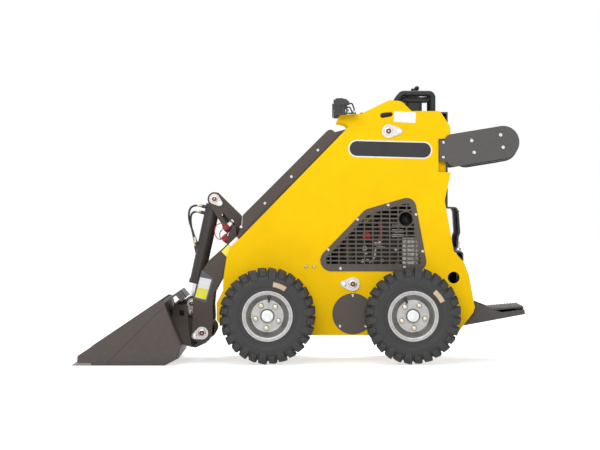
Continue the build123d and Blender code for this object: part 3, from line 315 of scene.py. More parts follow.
class Shape:
    """A mesh under construction, to which turned profiles, plates and tubes are added."""

    def __init__(self):
        self.bm = bmesh.new()

    def lathe(self, profile, matrix, steps=32, smooth=True):
        """Turns (radius, height) points round +Z; open ends at radius 0 are closed."""
        rings = []
        for radius, height in profile:
            spots = [(0, 0)] if radius < 1e-7 else circle_points(radius, steps)
            rings.append([self.bm.verts.new(matrix @ Vector((x, y, height))) for x, y in spots])
        for low, high in zip(rings, rings[1:]):
            for i in range(steps):
                j = (i + 1) % steps
                corners = [low[i % len(low)], low[j % len(low)], high[j % len(high)], high[i % len(high)]]
                corners = list(dict.fromkeys(corners))
                if len(corners) > 2:
                    self.bm.faces.new(corners).smooth = smooth
        return self

    def prism(self, points, matrix, thick):
        """Plate of this outline in the matrix's XY plane, from 0 up to thick."""
        low = [self.bm.verts.new(matrix @ Vector((x, y, 0))) for x, y in points]
        high = [self.bm.verts.new(matrix @ Vector((x, y, thick))) for x, y in points]
        self.bm.faces.new(list(reversed(low)))
        self.bm.faces.new(high)
        for i in range(len(points)):
            j = (i + 1) % len(points)
            self.bm.faces.new([low[i], low[j], high[j], high[i]])
        return self

    def tube(self, path, radius, steps=12, closed=False, radii=None):
        """Round tube along points, with flat caps unless it is closed on itself."""
        path = [Vector(p) for p in path]
        count = len(path)
        rings = []
        normal = None
        for i, point in enumerate(path):
            if closed:
                along = (path[(i + 1) % count] - path[i - 1]).normalized()
            else:
                along = (path[min(i + 1, count - 1)] - path[max(i - 1, 0)]).normalized()
            if normal is None:
                normal = along.orthogonal().normalized()
            normal = (normal - along * normal.dot(along)).normalized()
            side = along.cross(normal)
            r = radii[i] if radii else radius
            rings.append([self.bm.verts.new(point + (normal * x + side * y) * r)
                          for x, y in circle_points(1, steps)])
        pairs = list(zip(rings, rings[1:])) + ([(rings[-1], rings[0])] if closed else [])
        for low, high in pairs:
            for k in range(steps):
                m = (k + 1) % steps
                self.bm.faces.new([low[k], low[m], high[m], high[k]]).smooth = True
        if not closed:
            self.bm.faces.new(list(reversed(rings[0])))
            self.bm.faces.new(rings[-1])
        return self

    def done(self, name, look, body, slot=None, bevel=0.0, hides=()):
        """Makes the object with its look, body and rounded edges; slot is not used."""
        bmesh.ops.recalc_face_normals(self.bm, faces=self.bm.faces)
        mesh = bpy.data.meshes.new(name)
        self.bm.to_mesh(mesh)
        self.bm.free()
        mesh.materials.append(LOOKS[look])
        obj = added(name, mesh)
        if bevel:
            mod = obj.modifiers.new("edges", "BEVEL")
            mod.width = bevel
            mod.segments = 2
            mod.limit_method = "ANGLE"
            mod.angle_limit = radians(40)
        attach(obj, body)
        if hides:
            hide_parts(*hides)
        return obj


def circle_points(radius, count, turn=0.0):
    """Points round a circle about the origin."""
    return [(radius * cos(a), radius * sin(a)) for a in (turn + tau * i / count for i in range(count))]


def hex_bolt(shape, place, axis, across, turn=0.0):
    """Hex flange bolt: a washer face, a hex head with a chamfered crown and a dished middle."""
    m = turned(axis, place)
    r = across / sqrt(3)
    shape.lathe([(0, 0), (r * 1.32, 0), (r * 1.32, across * 0.08), (r * 1.12, across * 0.16), (0, across * 0.16)],
                m, 24)
    shape.prism(circle_points(r, 6, turn), m @ shift((0, 0, across * 0.14)), across * 0.5)
    shape.lathe([(0, across * 0.62), (r * 0.62, across * 0.66), (r * 0.86, across * 0.64)], m, 24)


def dome_bolt(shape, place, axis, radius):
    """Low round head with a small socket."""
    m = turned(axis, place)
    shape.lathe([(0, 0), (radius * 1.05, 0), (radius, radius * 0.3), (radius * 0.75, radius * 0.62),
                 (radius * 0.42, radius * 0.72), (radius * 0.42, radius * 0.3), (0, radius * 0.3)], m, 24)


def middle(node):
    low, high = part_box(node)
    return (low + high) / 2


# -------- tyres
SIDES = (("left", -1), ("right", 1))
TYRE_LOW, TYRE_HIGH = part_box("tyre_front_left")
TYRE_HALF = (TYRE_HIGH.y - TYRE_LOW.y) / 2 / MM
LUGS = 14                 # long lugs on each shoulder; a short one stands between each two
LUG_PITCH = tau / LUGS
LUG_LEAN, TREAD = 2.2, 0.95     # how much one end of a lug stands up, over this share of the tyre's width
# half profile of the carcass from its bead out and up, in millimetres: (distance from the middle, radius)
CARCASS = (
    (84, 107), (84, 119.5), (91.5, 120.2), (93.8, 122), (95.5, 125.5), (95.2, 128.5), (94, 130), (94.6, 131.6),
    (98.5, 138), (102, 146), (104.2, 155), (104.8, 164), (103.6, 175), (100.5, 187), (95, 198), (85, 206),
    (66, 210.5), (34, 212), (0, 212.5))
SIDEWALL = CARCASS[8:]


def sidewall_out(radius):
    """How far out the sidewall stands at this radius."""
    for (w0, r0), (w1, r1) in zip(SIDEWALL, SIDEWALL[1:]):
        if r0 <= radius <= r1:
            return w0 + (w1 - w0) * (radius - r0) / (r1 - r0)
    return SIDEWALL[0][0]


def on_wheel(hub, out, radius, angle):
    """Place at these millimetres along y and out from the hub's middle, at this angle."""
    return hub + Vector((radius * cos(angle), out, radius * sin(angle))) * MM


def add_lug(shape, hub, side, centre, top, foot, half_top, half_foot, steps):
    """A lug over the shoulder, from its top line down to its foot in the carcass; one end stands proud."""
    skew = radians(1.6)

    def at(w, r, angle):
        return shape.bm.verts.new(on_wheel(hub, side * w, r, angle + skew * (1 - w / TYRE_HALF)))

    fractions = [2 * i / steps - 1 for i in range(steps + 1)]
    crown = [[at(w, r + (LUG_LEAN * f if w < TYRE_HALF * TREAD else 0), centre + f * half_top) for f in fractions]
             for w, r in top]
    low = [[at(w, r, centre + f * half_foot) for f in (-1, 1)] for w, r in foot]
    for a, b in zip(crown, crown[1:]):
        for i in range(steps):
            shape.bm.faces.new([a[i], a[i + 1], b[i + 1], b[i]])
    for (a, b), (la, lb) in zip(zip(crown, crown[1:]), zip(low, low[1:])):
        shape.bm.faces.new([a[0], b[0], lb[0], la[0]])
        shape.bm.faces.new([a[-1], la[1], lb[1], b[-1]])
    shape.bm.faces.new([*crown[0], low[0][1], low[0][0]])
    shape.bm.faces.new([*reversed(crown[-1]), low[-1][0], low[-1][1]])


# each kind of lug: (distance from the middle, radius) along its top and its foot, their half angles, steps across
LONG_LUG = (((10, 225), (48, 226), (84, 224.6), (98, 218), (105.5, 205), (107.6, 190), (107, 176),
             (104.9, 170.5)),
            ((8, 208), (48, 207), (80, 203), (88, 198), (94, 190), (98, 182), (101, 172), (102, 167)),
            radians(4.7), radians(5.7), 4)
SHORT_LUG = (((58, 224.6), (84, 223.6), (97.5, 216), (104.8, 203), (106.2, 193), (104.4, 187.5)),
             ((56, 206), (80, 203), (88, 198), (93, 191), (97, 186), (98, 183)), radians(4.0), radians(4.9), 2)
# fine radial ribs on the sidewall: how many, half their angle, and (radius, height) over each
RIBS, RIB_HALF = 168, 0.0042
RIB_LINE = ((158.5, -0.1), (160.5, 0.8), (166.5, 0.8), (168.5, -0.1))


def add_grid(shape, rows, smooth=False):
    """Faces between rows of points."""
    rows = [[shape.bm.verts.new(point) for point in row] for row in rows]
    for a, b in zip(rows, rows[1:]):
        for i in range(len(a) - 1):
            shape.bm.faces.new([a[i], a[i + 1], b[i + 1], b[i]]).smooth = smooth


def add_paper_label(node, body, hub, side, angle):
    """A thin blank label that lies on the sidewall, centred at this angle."""
    radius, half_long, half_tall, lift, across, along = 152, 31, 11.5, 0.6, 4, 10
    rows = []
    for i in range(across + 1):
        r = radius + half_tall * (2 * i / across - 1)
        out = side * (sidewall_out(r) + lift)
        rows.append([on_wheel(hub, out, r, angle + half_long / radius * (2 * k / along - 1))
                     for k in range(along + 1)])
    label = Shape()
    add_grid(label, rows, smooth=True)
    label.done(f"{node}_paper_label", "tan_paper", body)


def add_tyre(axle, name, side):
    node, body = f"tyre_{axle}_{name}", f"wheel_{axle}_{name}"
    hub = middle(node)
    carcass = Shape()
    profile = [(r, w) for w, r in CARCASS] + [(r, -w) for w, r in reversed(CARCASS[:-1])]
    carcass.lathe([*profile, profile[0]], turned((0, side, 0), hub), 144)
    for face in (side, -side):
        for i in range(RIBS):
            a = tau * i / RIBS
            add_grid(carcass, [[on_wheel(hub, face * (sidewall_out(r) + lift), r, a + f * RIB_HALF)
                                for f in (-1, 0, 1)] for r, lift in RIB_LINE])
    carcass.done(f"{node}_carcass", "tyre_rubber", body, hides=(node,))
    lugs = Shape()
    for face, lag in ((side, 0.0), (-side, 0.5)):
        for i in range(LUGS):
            centre = radians(-97) + LUG_PITCH * (i + lag)
            add_lug(lugs, hub, face, centre, *LONG_LUG)
            add_lug(lugs, hub, face, centre + LUG_PITCH * 0.5, *SHORT_LUG)
    lugs.done(f"{node}_lugs", "tyre_rubber", body, bevel=0.0022)
    add_paper_label(node, body, hub, side, radians(LABEL_TURN[axle]))


# degrees by which the wheel's nuts, its valve and its paper label stand turned
NUT_TURN = {"front": -5.0, "rear": 5.5}
VALVE_TURN = {"front": 84.0, "rear": 115.0}
LABEL_TURN = {"front": 68.0, "rear": 38.0}
WHEELS = [(axle, name, side) for axle in ("front", "rear") for name, side in SIDES]
for wheel in WHEELS:
    add_tyre(*wheel)


# -------- wheel nuts, caps and valves
NUTS, BOLT_CIRCLE_R, RIM_FACE = 5, 57.15, 46
VALVE_R, VALVE_OUT = 90.5, 69           # on the dished wall of the rim


def add_nut(shape, m, turn):
    """Flange nut with a domed top, and the threaded end of its stud."""
    shape.lathe([(0, 0), (12.5, 0), (12.5, 2), (10.5, 4.5), (0, 4.5)], m, 28)
    shape.prism(circle_points(11.2, 6, turn), m @ shift((0, 0, 4)), 13)
    shape.lathe([(10, 16.5), (9.2, 19), (6.6, 19.8), (0, 19.8)], m, 28)
    thread = [(6 if k % 2 else 5.2, 19 + 0.8 * k) for k in range(10)]
    shape.lathe([*thread, (4.4, 27.2), (0, 27.2)], m, 20)


def add_wheel_fittings(axle, name, side):
    body = f"wheel_{axle}_{name}"
    out = (0, side, 0)
    hub = middle(f"tyre_{axle}_{name}")
    nuts = Shape()
    for i in range(NUTS):
        a = radians(NUT_TURN[axle] + 54 + 360 / NUTS * i)
        add_nut(nuts, turned(out, on_wheel(hub, side * RIM_FACE, BOLT_CIRCLE_R, a)), a)
    nuts.done(f"wheel_nuts_{axle}_{name}", "gold_zinc", body, "pin_steel", bevel=0.0005)
    hub_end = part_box(f"hub_{axle}_{name}")[0 if side < 0 else 1].y
    cap = Shape().lathe([(27, -3), (27, 0.4), (26.2, 1), (24, 1.2), (0, 1.4)],
                        turned(out, (hub.x, hub_end, hub.z)), 48)
    cap.done(f"hub_cap_{axle}_{name}", "brushed", body, "rim_silver")
    a = radians(VALVE_TURN[axle])
    stem = (-0.85 * cos(a), side * 0.53, -0.85 * sin(a))
    valve = Shape().lathe([(10.5, -3), (10.5, 1), (8, 4), (5.8, 7), (4.8, 13), (4.2, 18), (4.8, 18.5), (4.8, 26),
                           (4, 28), (0, 28)], turned(stem, on_wheel(hub, side * VALVE_OUT, VALVE_R, a)), 20)
    valve.done(f"valve_{axle}_{name}", "black_plastic", body)


for wheel in WHEELS:
    add_wheel_fittings(*wheel)


# -------- pin ends and keepers' bolts
def joint_place(name):
    return next(Vector(j["pos_m"]) for j in frame["joints"] if j["name"] == name)


PIVOT = joint_place("boom_lift")
HINGE = joint_place("bucket_tilt")
LIFT_BASE = joint_place("lift_barrel_left_swing")
TILT_TOP = joint_place("tilt_barrel_swing")
PLATE_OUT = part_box("side_plate_right")[1].y
ARM_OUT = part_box("boom_arm_right")[1].y
COVER_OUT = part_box("boom_cover")[1].y
KEEPER_UP, PIN_UP = 0.008, 0.011        # how far a keeper and a pin stand proud of their plate


def pair(place, out, dx=0.0, dz=0.0):
    """Both points this far out of the machine's middle plane, at a place moved by dx and dz."""
    return [(place.x + dx, side * out, place.z + dz) for side in (-1, 1)]


def add_pin_end(steel, primer, m, radius):
    """Turned pin end: chamfer, primed ring, and a grease nipple in a countersink."""
    steel.lathe([(radius * 0.98, -1), (radius * 0.98, 0.6), (radius * 0.86, 2), (radius * 0.7, 2.2)], m, 32)
    primer.lathe([(radius * 0.7, 2.2), (radius * 0.66, 1.4), (radius * 0.3, 1.2), (radius * 0.26, 0.4),
                  (0, 0.4)], m, 32)
    steel.lathe([(4.2, 0.4), (4.2, 3), (3, 3.4), (2.6, 5.2), (3.4, 6), (3.4, 7.4), (1.8, 8.8), (0, 8.8)], m, 16)


def add_pins(name, body, pins, bolts, radius=19, across=16.5, turn=0.3):
    """Pin ends and their keepers' bolts, all facing out of the machine."""
    steel, primer = Shape(), Shape()
    for place in pins:
        add_pin_end(steel, primer, turned((0, place[1], 0), place), radius)
    for place in bolts:
        hex_bolt(steel, place, (0, place[1], 0), across, turn)
    steel.done(f"{name}_ends", "zinc", body, "pin_steel", bevel=0.0004)
    primer.done(f"{name}_primed_rings", "primer", body, "pin_steel")


add_pins("frame_pin", "frame", pair(PIVOT, PLATE_OUT + PIN_UP) + pair(LIFT_BASE, PLATE_OUT + PIN_UP),
         pair(PIVOT, PLATE_OUT + KEEPER_UP, 0.049) + pair(LIFT_BASE, PLATE_OUT + KEEPER_UP, -0.0435))
add_pins("hinge_pin", "boom", pair(HINGE, ARM_OUT + PIN_UP), pair(HINGE, ARM_OUT + KEEPER_UP, -0.0347, -0.0145))
TILT_EAR, TILT_KEEPER = 0.057, 0.065    # outer faces of the boom's ear and of the keeper on it
add_pins("tilt_pin", "boom", [(TILT_TOP.x, -TILT_KEEPER, TILT_TOP.z), (TILT_TOP.x, TILT_EAR + 0.003, TILT_TOP.z)],
         [(TILT_TOP.x + 0.0282, -TILT_KEEPER, TILT_TOP.z - 0.0226)], 16.5)
ROD_LOW, ROD_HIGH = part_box("rod_pin")
ROD = Vector(((ROD_LOW.x + ROD_HIGH.x) / 2, 0, ROD_HIGH.z - 0.023))
add_pins("rod_pin", "bucket", pair(ROD, ROD_HIGH.y), pair(ROD, ROD_HIGH.y, -0.01, -0.044), 14.5, 14.5, 0.2)

# -------- small bolts on the plates
PLATE_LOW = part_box("side_plate_left")[0]
GRILLE_LOW, GRILLE_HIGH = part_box("grille_left")
DISC_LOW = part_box("disc_covers")[0]


def add_bolts(name, body, corner, rows, face_y, radius, look="zinc"):
    """Round-headed bolts on both faces of the machine, at (x, z) steps from a corner."""
    shape = Shape()
    for dx, dz in rows:
        for place in pair(corner, face_y, dx, dz):
            dome_bolt(shape, place, (0, place[1], 0), radius)
    shape.done(name, look, body, "pin_steel")


add_bolts("grille_bolts", "frame", GRILLE_LOW,
          ((0.3215, 0.3143), (0.4525, 0.2693), (0.1761, 0.2453), (0.0375, 0.1023), (0.484, 0.0943),
           (0.0955, 0.0133), (0.3985, 0.0193)), PLATE_OUT + 0.003, 7.5)
add_bolts("plate_bolts", "frame", PLATE_LOW, ((0.4237, 0.3264), (0.4626, 0.3264)), PLATE_OUT, 8.5, "gold_zinc")
add_bolts("disc_cover_bolts", "frame", DISC_LOW, ((0.036, 0.039), (0.158, 0.039), (0.097, 0.184)),
          PLATE_OUT + 0.004, 7.5)


def on_boom(along, up):
    """(x, z) from the boom's pivot at this distance down the lowered boom and up from that line."""
    return (-along - up) * sqrt(0.5), (up - along) * sqrt(0.5)


add_bolts("cover_bolts", "boom", PIVOT, [on_boom(along, 0.1725) for along in (0.3, 0.478, 0.656, 0.815)],
          COVER_OUT, 7.5)


# -------- films on the plates: stripe and blank labels
def upright(x, y, z, side=1):
    """Matrix that stands an XY outline up in the XZ plane at this place, its thickness towards this side."""
    return Matrix(((1, 0, 0, x), (0, 0, side, y), (0, 1, 0, z), (0, 0, 0, 1)))


def film(name, body, points, look, face_y):
    """A thin blank film with this (x, z) outline on a plate's outer faces."""
    gap, thick = 0.0001, 0.0004
    shape = Shape()
    for _, side in SIDES:
        shape.prism(points, upright(0, side * (face_y + gap), 0, side), thick)
    shape.done(name, look, body)


def round_bar(start, end, radius, steps=24):
    """Outline of a bar with round ends from start to end."""
    turn = atan2(end[1] - start[1], end[0] - start[0])
    points = []
    for centre, first in ((end, turn - pi / 2), (start, turn + pi / 2)):
        for i in range(steps + 1):
            a = first + pi * i / steps
            points.append((centre[0] + radius * cos(a), centre[1] + radius * sin(a)))
    return points


def round_box(low, high, radius, turn=0.0):
    """Outline of a box with rounded corners, turned about its middle."""
    steps = 6
    mid = ((low[0] + high[0]) / 2, (low[1] + high[1]) / 2)
    half = ((high[0] - low[0]) / 2 - radius, (high[1] - low[1]) / 2 - radius)
    points = []
    for quarter, (sx, sz) in enumerate(((1, 1), (-1, 1), (-1, -1), (1, -1))):
        for i in range(steps + 1):
            a = pi / 2 * (quarter + i / steps)
            x, z = sx * half[0] + radius * cos(a), sz * half[1] + radius * sin(a)
            points.append((mid[0] + x * cos(turn) - z * sin(turn), mid[1] + x * sin(turn) + z * cos(turn)))
    return points


def near(place, *steps):
    """(x, z) points at these steps from a place."""
    return [(place.x + dx, place.z + dz) for dx, dz in steps]


# a plain black bar with a white edge across the tower, and a blank white label above it
BAR = near(PIVOT, (-0.15, -0.0825), (0.1655, -0.0906))
film("stripe_edge", "frame", round_bar(*BAR, 0.041), "white_film", PLATE_OUT)
film("stripe_bar", "frame", round_bar(*BAR, 0.035), "black_film", PLATE_OUT + 0.0005)
TOWER_LABEL = near(PIVOT, (0.0253, 0.0408), (0.1283, 0.0918))
film("tower_label", "frame", round_box(*TOWER_LABEL, 0.004, radians(-3.5)), "white_film", PLATE_OUT)


def strip(corners, low, high, margin=0.0):
    """Part of a four-sided label from share low to share high of its height, its ends inset by a margin."""
    a, b, c, d = (Vector(corner) for corner in corners)
    rows = []
    for share in (low, high):
        left, right = a.lerp(d, share), b.lerp(c, share)
        inset = (right - left).normalized() * margin
        rows.append((left + inset, right - inset))
    return [*rows[0], *reversed(rows[1])]


# blank labels on the boom's arms: a white over a yellow field on a dark border
LABEL = near(HINGE, (-0.0077, 0.2655), (0.0453, 0.2535), (0.0193, 0.1575), (-0.0327, 0.1705))
BORDER = near(HINGE, (0.001, 0.301), (0.056, 0.257), (0.0225, 0.144), (-0.042, 0.164))
film("arm_label_border", "boom", BORDER, "blue_film", ARM_OUT)
film("arm_label_white", "boom", strip(LABEL, 0.0, 0.5), "white_film", ARM_OUT + 0.0005)
film("arm_label_yellow", "boom", strip(LABEL, 0.5, 1.0), "yellow_film", ARM_OUT + 0.0005)
# a second one where the arm turns down, set square to the boom
ELBOW = near(PIVOT, on_boom(0.8636, 0.1567), on_boom(0.8667, 0.1176), on_boom(0.9644, 0.1168),
             on_boom(0.9641, 0.158))
film("elbow_label_white", "boom", strip(ELBOW, 0.0, 0.52, 0.001), "white_film", ARM_OUT)
film("elbow_label_yellow", "boom", strip(ELBOW, 0.54, 1.0, 0.001), "yellow_film", ARM_OUT)


# -------- tilt cylinder's hoses
TILT_RUN = next(Vector(j["axis"]) for j in frame["joints"] if j["name"] == "tilt_rod_slide")
TILT_OUT = Vector((TILT_RUN.z, 0, -TILT_RUN.x))
HOSE_D = 0.01
PORT_OUT, FITTING_OUT = 0.051, 0.043    # from the barrel's axis out to the ends of a hose


def add_hose(name, y, high, low, stand, corners):
    """A hose from a port at the barrel's top round to its lower fitting.

    Its ends are high and low along the barrel, it stands out at the port, its corners are (x, z) steps from
    the barrel's top pin, and its length is along the bends."""
    top = Vector((TILT_TOP.x, y, TILT_TOP.z))
    start = top + TILT_RUN * high + TILT_OUT * PORT_OUT
    finish = top + TILT_RUN * low + TILT_OUT * FITTING_OUT
    route = [start, start + TILT_OUT * stand, *[top + Vector((x, 0, z)) for x, z in corners], finish]
    curve = bpy.data.curves.new(f"hose_{name}", "CURVE")
    curve.dimensions = "3D"
    curve.bevel_depth = HOSE_D / 2
    curve.bevel_resolution = 6
    curve.use_fill_caps = True
    spline = curve.splines.new("NURBS")
    spline.points.add(len(route) - 1)
    for point, place in zip(spline.points, route):
        point.co = (*place, 1)
    spline.order_u = 3
    spline.use_endpoint_u = True
    spline.resolution_u = 16
    curve.materials.append(LOOKS["hose_rubber"])
    hose = added(f"hose_{name}", curve)
    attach(hose, "tilt_barrel")
    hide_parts(f"tilt_hose_{name}")
    # crimped sleeves and swivel nuts at both ends
    ends = Shape()
    for place, toward in ((start, route[1] - start), (finish, route[-2] - finish)):
        m = turned(toward, place)
        ends.prism(circle_points(8.5, 6), m @ shift((0, 0, -1)), 9)
        ends.lathe([(5.2, 8), (7, 8.5), (7, 12), (6.4, 12.5), (6.4, 15), (7, 15.5), (7, 19), (6.4, 19.5),
                    (6.4, 22), (7, 22.5), (7, 26), (5.2, 26.5)], m, 24)
    ends.done(f"hose_{name}_fittings", "gold_zinc", "tilt_barrel", "pin_steel", bevel=0.0004)


add_hose("upper", -0.009, 0.046, 0.222, 0.054, ((-0.1293, -0.0874), (-0.1003, -0.1704)))
add_hose("lower", 0.009, 0.076, 0.24, 0.043, ((-0.1193, -0.1054), (-0.1013, -0.1824)))

# -------- quick couplers' caps and tethers
COUPLER_AXIS = Vector((1, 0, 1)).normalized()


def smooth_path(points):
    """Points of a smooth line (Catmull-Rom) through these."""
    steps = 10
    points = [Vector(p) for p in points]
    ends = [points[0] * 2 - points[1], *points, points[-1] * 2 - points[-2]]
    line = []
    for a, b, c, d in zip(ends, ends[1:], ends[2:], ends[3:]):
        for i in range(steps):
            f = i / steps
            line.append(0.5 * (2 * b + (c - a) * f + (2 * a - 5 * b + 4 * c - d) * f ** 2
                               + (3 * b - a - 3 * c + d) * f ** 3))
    return [*line, points[-1]]


def add_coupler_cap(name, step, look, tether, tether_look):
    """Moulded cap over a coupler's mouth, with its strap looped back to the coupler's neck."""
    low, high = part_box("aux_couplers")
    face = Vector((low.x, high.y, low.z)) + Vector(step)
    grips, neck, strap_r = 20, 0.045, 0.0022
    cap = Shape()
    m = turned(-COUPLER_AXIS, face)
    cap.lathe([(0, 7.5), (6, 7.5), (7, 6), (15, 6), (18.2, 4), (19.6, 1), (19.6, -5), (18.7, -5.8), (18.7, -19),
               (19.8, -20), (19.8, -24), (14, -24.5)], m, 40)
    for x, y in circle_points(18.9, grips):
        cap.prism(circle_points(0.9, 6), m @ shift((x, y, -19)), 13.2)
    cap.done(f"coupler_cap_{name}", look, "boom", bevel=0.0004)
    ring = turned(COUPLER_AXIS, face + COUPLER_AXIS * neck)
    strap = Shape().tube(smooth_path([face + Vector(step) for step in tether]), strap_r, 10)
    strap.tube([ring @ Vector((*p, 0)) for p in circle_points(16, 32)], strap_r, 8, closed=True)
    strap.done(f"coupler_tether_{name}", tether_look, "boom")
    m = turned(COUPLER_AXIS, face)
    collar = Shape().lathe([(14.1, 25), (17, 26), (17, 33), (15.8, 34), (15.8, 40), (16.8, 41), (16.8, 47),
                            (14.1, 48)], m, 40)
    collar.lathe([(14.1, 50), (16.5, 51), (16.5, 58), (12, 58.5)], m, 6, smooth=False)
    collar.done(f"coupler_collars_{name}", "zinc", "boom", "pin_steel", bevel=0.0004)


add_coupler_cap("near", (0.01167, -0.025, 0.029), "red_plastic", (
    (-0.014, -0.01, 0.002), (-0.034, -0.014, 0.01), (-0.046, -0.012, 0.038), (-0.036, -0.008, 0.072),
    (-0.006, -0.01, 0.078), (0.021, -0.012, 0.046)), "red_plastic")
# the far cap's darker red is painted shade from the bracket
add_coupler_cap("far", (0.01867, -0.072, 0.079), "seal_red", (
    (-0.014, -0.01, 0.002), (-0.026, -0.016, -0.012), (-0.024, -0.018, -0.04), (-0.002, -0.016, -0.036),
    (0.02, -0.01, 0.01), (0.026, -0.012, 0.04)), "black_plastic")

# -------- work lamps
def add_lamp_details(side):
    """Bezel and reflectors at the front of a work lamp, its fins, and its screw and gland."""
    low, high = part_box("work_lamps")
    y = side * (high.y - 0.045)
    low_z, high_z, half_y, rim = low.z + 0.003, high.z - 0.006, 41.5, 2
    half_z = (high_z - low_z) / 2 / MM
    face = shift((low.x + 0.0035, y, (low_z + high_z) / 2)) @ Matrix(
        ((0, 0, -MM, 0), (MM, 0, 0, 0), (0, MM, 0, 0), (0, 0, 0, 1)))
    back = Shape().prism(round_box((-half_y, -half_z), (half_y, half_z), 10), face, 3)
    back.done(f"lamp_back_{side}", "shell_grey", "frame", "cover_plastic", bevel=0.0008)
    outline = round_box((rim - half_y, rim - half_z), (half_y - rim, half_z - rim), 9)
    bezel = Shape().tube([face @ Vector((a, b, 3.5)) for a, b in outline], 0.0026, 8, closed=True)
    leds = Shape()
    for a in (-25, 0, 25):
        for b in (-16, 16):
            m = face @ shift((a, b, 3))
            bezel.lathe([(11.8, 0), (11.8, 2.2), (10.6, 2.4), (4.8, 0.8)], m, 32)
            leds.lathe([(4.6, 0.6), (4, 2.6), (0, 3.4)], m, 24)
    bezel.done(f"lamp_bezel_{side}", "black_plastic", "frame", "cover_plastic")
    leds.done(f"lamp_leds_{side}", "led", "frame")
    fins = Shape()
    for up in (0.01, 0.019, 0.028, 0.037, 0.046):
        m = upright(low.x + 0.008, y + side * half_y * MM, low.z + up, side)
        fins.prism([(0, 0), (0.024, 0), (0.024, 0.0032), (0, 0.0032)], m, 0.0022)
    fins.done(f"lamp_fins_{side}", "black_plastic", "frame", "cover_plastic", bevel=0.0006)
    fixings = Shape()
    hex_bolt(fixings, (low.x + 0.062, y, low.z + 0.022), (1, 0, 0), 11)
    gland = turned((0, 0, 1), (high.x - 0.008, side * (high.y - 0.065), low.z + 0.011))
    fixings.lathe([(7.5, 0), (7.5, 6), (6, 8), (4.5, 10)], gland, 20)
    fixings.done(f"lamp_fixings_{side}", "zinc", "frame", "pin_steel", bevel=0.0004)


# -------- operator's console
def add_console():
    """A plain panel with the levers' boots, an hour meter with a blank face, a key switch and a throttle."""
    low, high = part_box("console")
    up, top = (0, 0, 1), high.z
    lever_x, row_x, meter_y, key_y = middle("control_levers").x, high.x - 0.03, -0.034, 0.036
    plate_in, plate_t, screw_in = 0.01, 0.0008, 0.017
    boots = Shape()
    for x, y in ((lever_x - 0.007, -0.07), (lever_x - 0.007, 0.07), (lever_x - 0.012, 0.0)):
        boots.lathe([(19, 0), (19, 1.5), (16.5, 2.5), (17, 5), (14, 6.2), (14.6, 8.8), (11.5, 10), (12, 12.5),
                     (9, 14), (6, 16)], turned(up, (x, y, top)), 32)
    boots.done("lever_boots", "hose_rubber", "frame")
    outline = round_box((low.x + plate_in, low.y + plate_in), (high.x - plate_in, high.y - plate_in), 0.006)
    plate = Shape().prism(outline, shift((0, 0, top + 0.0001)), plate_t)
    plate.done("console_plate", "guard_black", "frame", bevel=0.0003)
    meter = turned(up, (row_x, meter_y, top + plate_t))
    rings = Shape().lathe([(20, 0), (20, 3), (18.5, 4.5), (16.8, 4.5), (16.5, 2.8)], meter, 40)
    rings.lathe([(10.5, 0), (10.5, 4), (9, 5.2), (4, 5.2), (3.6, 3), (0, 3)],
                turned(up, (row_x, key_y, top + plate_t)), 32)
    rings.done("console_rings", "zinc", "frame", "pin_steel")
    Shape().lathe([(16.4, 2.6), (0, 2.7)], meter, 40).done("hour_meter_face", "white_film", "frame")
    outline = round_box((-0.0012, -0.0085), (0.0012, 0.0085), 0.001)
    key = Shape().prism(outline, shift((row_x, key_y, top + 0.005)), 0.016)
    key.done("key", "brushed", "frame", "rim_silver", bevel=0.0005)
    throttle = Shape().tube([(low.x + 0.022, key_y, top), (low.x + 0.018, key_y, top + 0.02)], 0.0025, 10)
    throttle.lathe([(0, 10), (5, 8.5), (6.8, 4), (6, -1), (3.2, -4)],
                   turned((-0.2, 0, 1), (low.x + 0.0175, key_y, top + 0.022)), 24)
    throttle.done("throttle", "red_plastic", "frame", bevel=0.0003)
    screws = Shape()
    for x in (low.x + screw_in, high.x - screw_in):
        for y in (low.y + screw_in, high.y - screw_in):
            dome_bolt(screws, (x, y, top + plate_t), up, 4.5)
    screws.done("console_screws", "zinc", "frame", "pin_steel")


# -------- hip pads
PAD_TILT = radians(9.3)


def swollen(obj, cap):
    """The object's remeshed form blown up by cloth pressure, each point by no more than cap."""
    cell, pressure, frames = 0.005, 4, 20
    remesh = obj.modifiers.new("remesh", "REMESH")
    remesh.mode = "VOXEL"
    remesh.voxel_size = cell

    def evaluated():
        return bpy.data.meshes.new_from_object(obj.evaluated_get(bpy.context.evaluated_depsgraph_get()))

    base = evaluated()
    obj.modifiers.clear()
    obj.data = base
    cloth = obj.modifiers.new("cloth", "CLOTH")
    cloth.settings.use_pressure = True
    cloth.settings.uniform_pressure_force = pressure
    cloth.settings.effector_weights.gravity = 0
    for number in range(1, frames + 1):
        bpy.context.scene.frame_set(number)
    blown = evaluated()
    obj.modifiers.clear()
    for point, moved in zip(base.vertices, blown.vertices):
        step = moved.co - point.co
        point.co = point.co + step * min(1.0, cap / max(step.length, 1e-9))
    bpy.context.scene.frame_set(1)
    for face in base.polygons:
        face.use_smooth = True


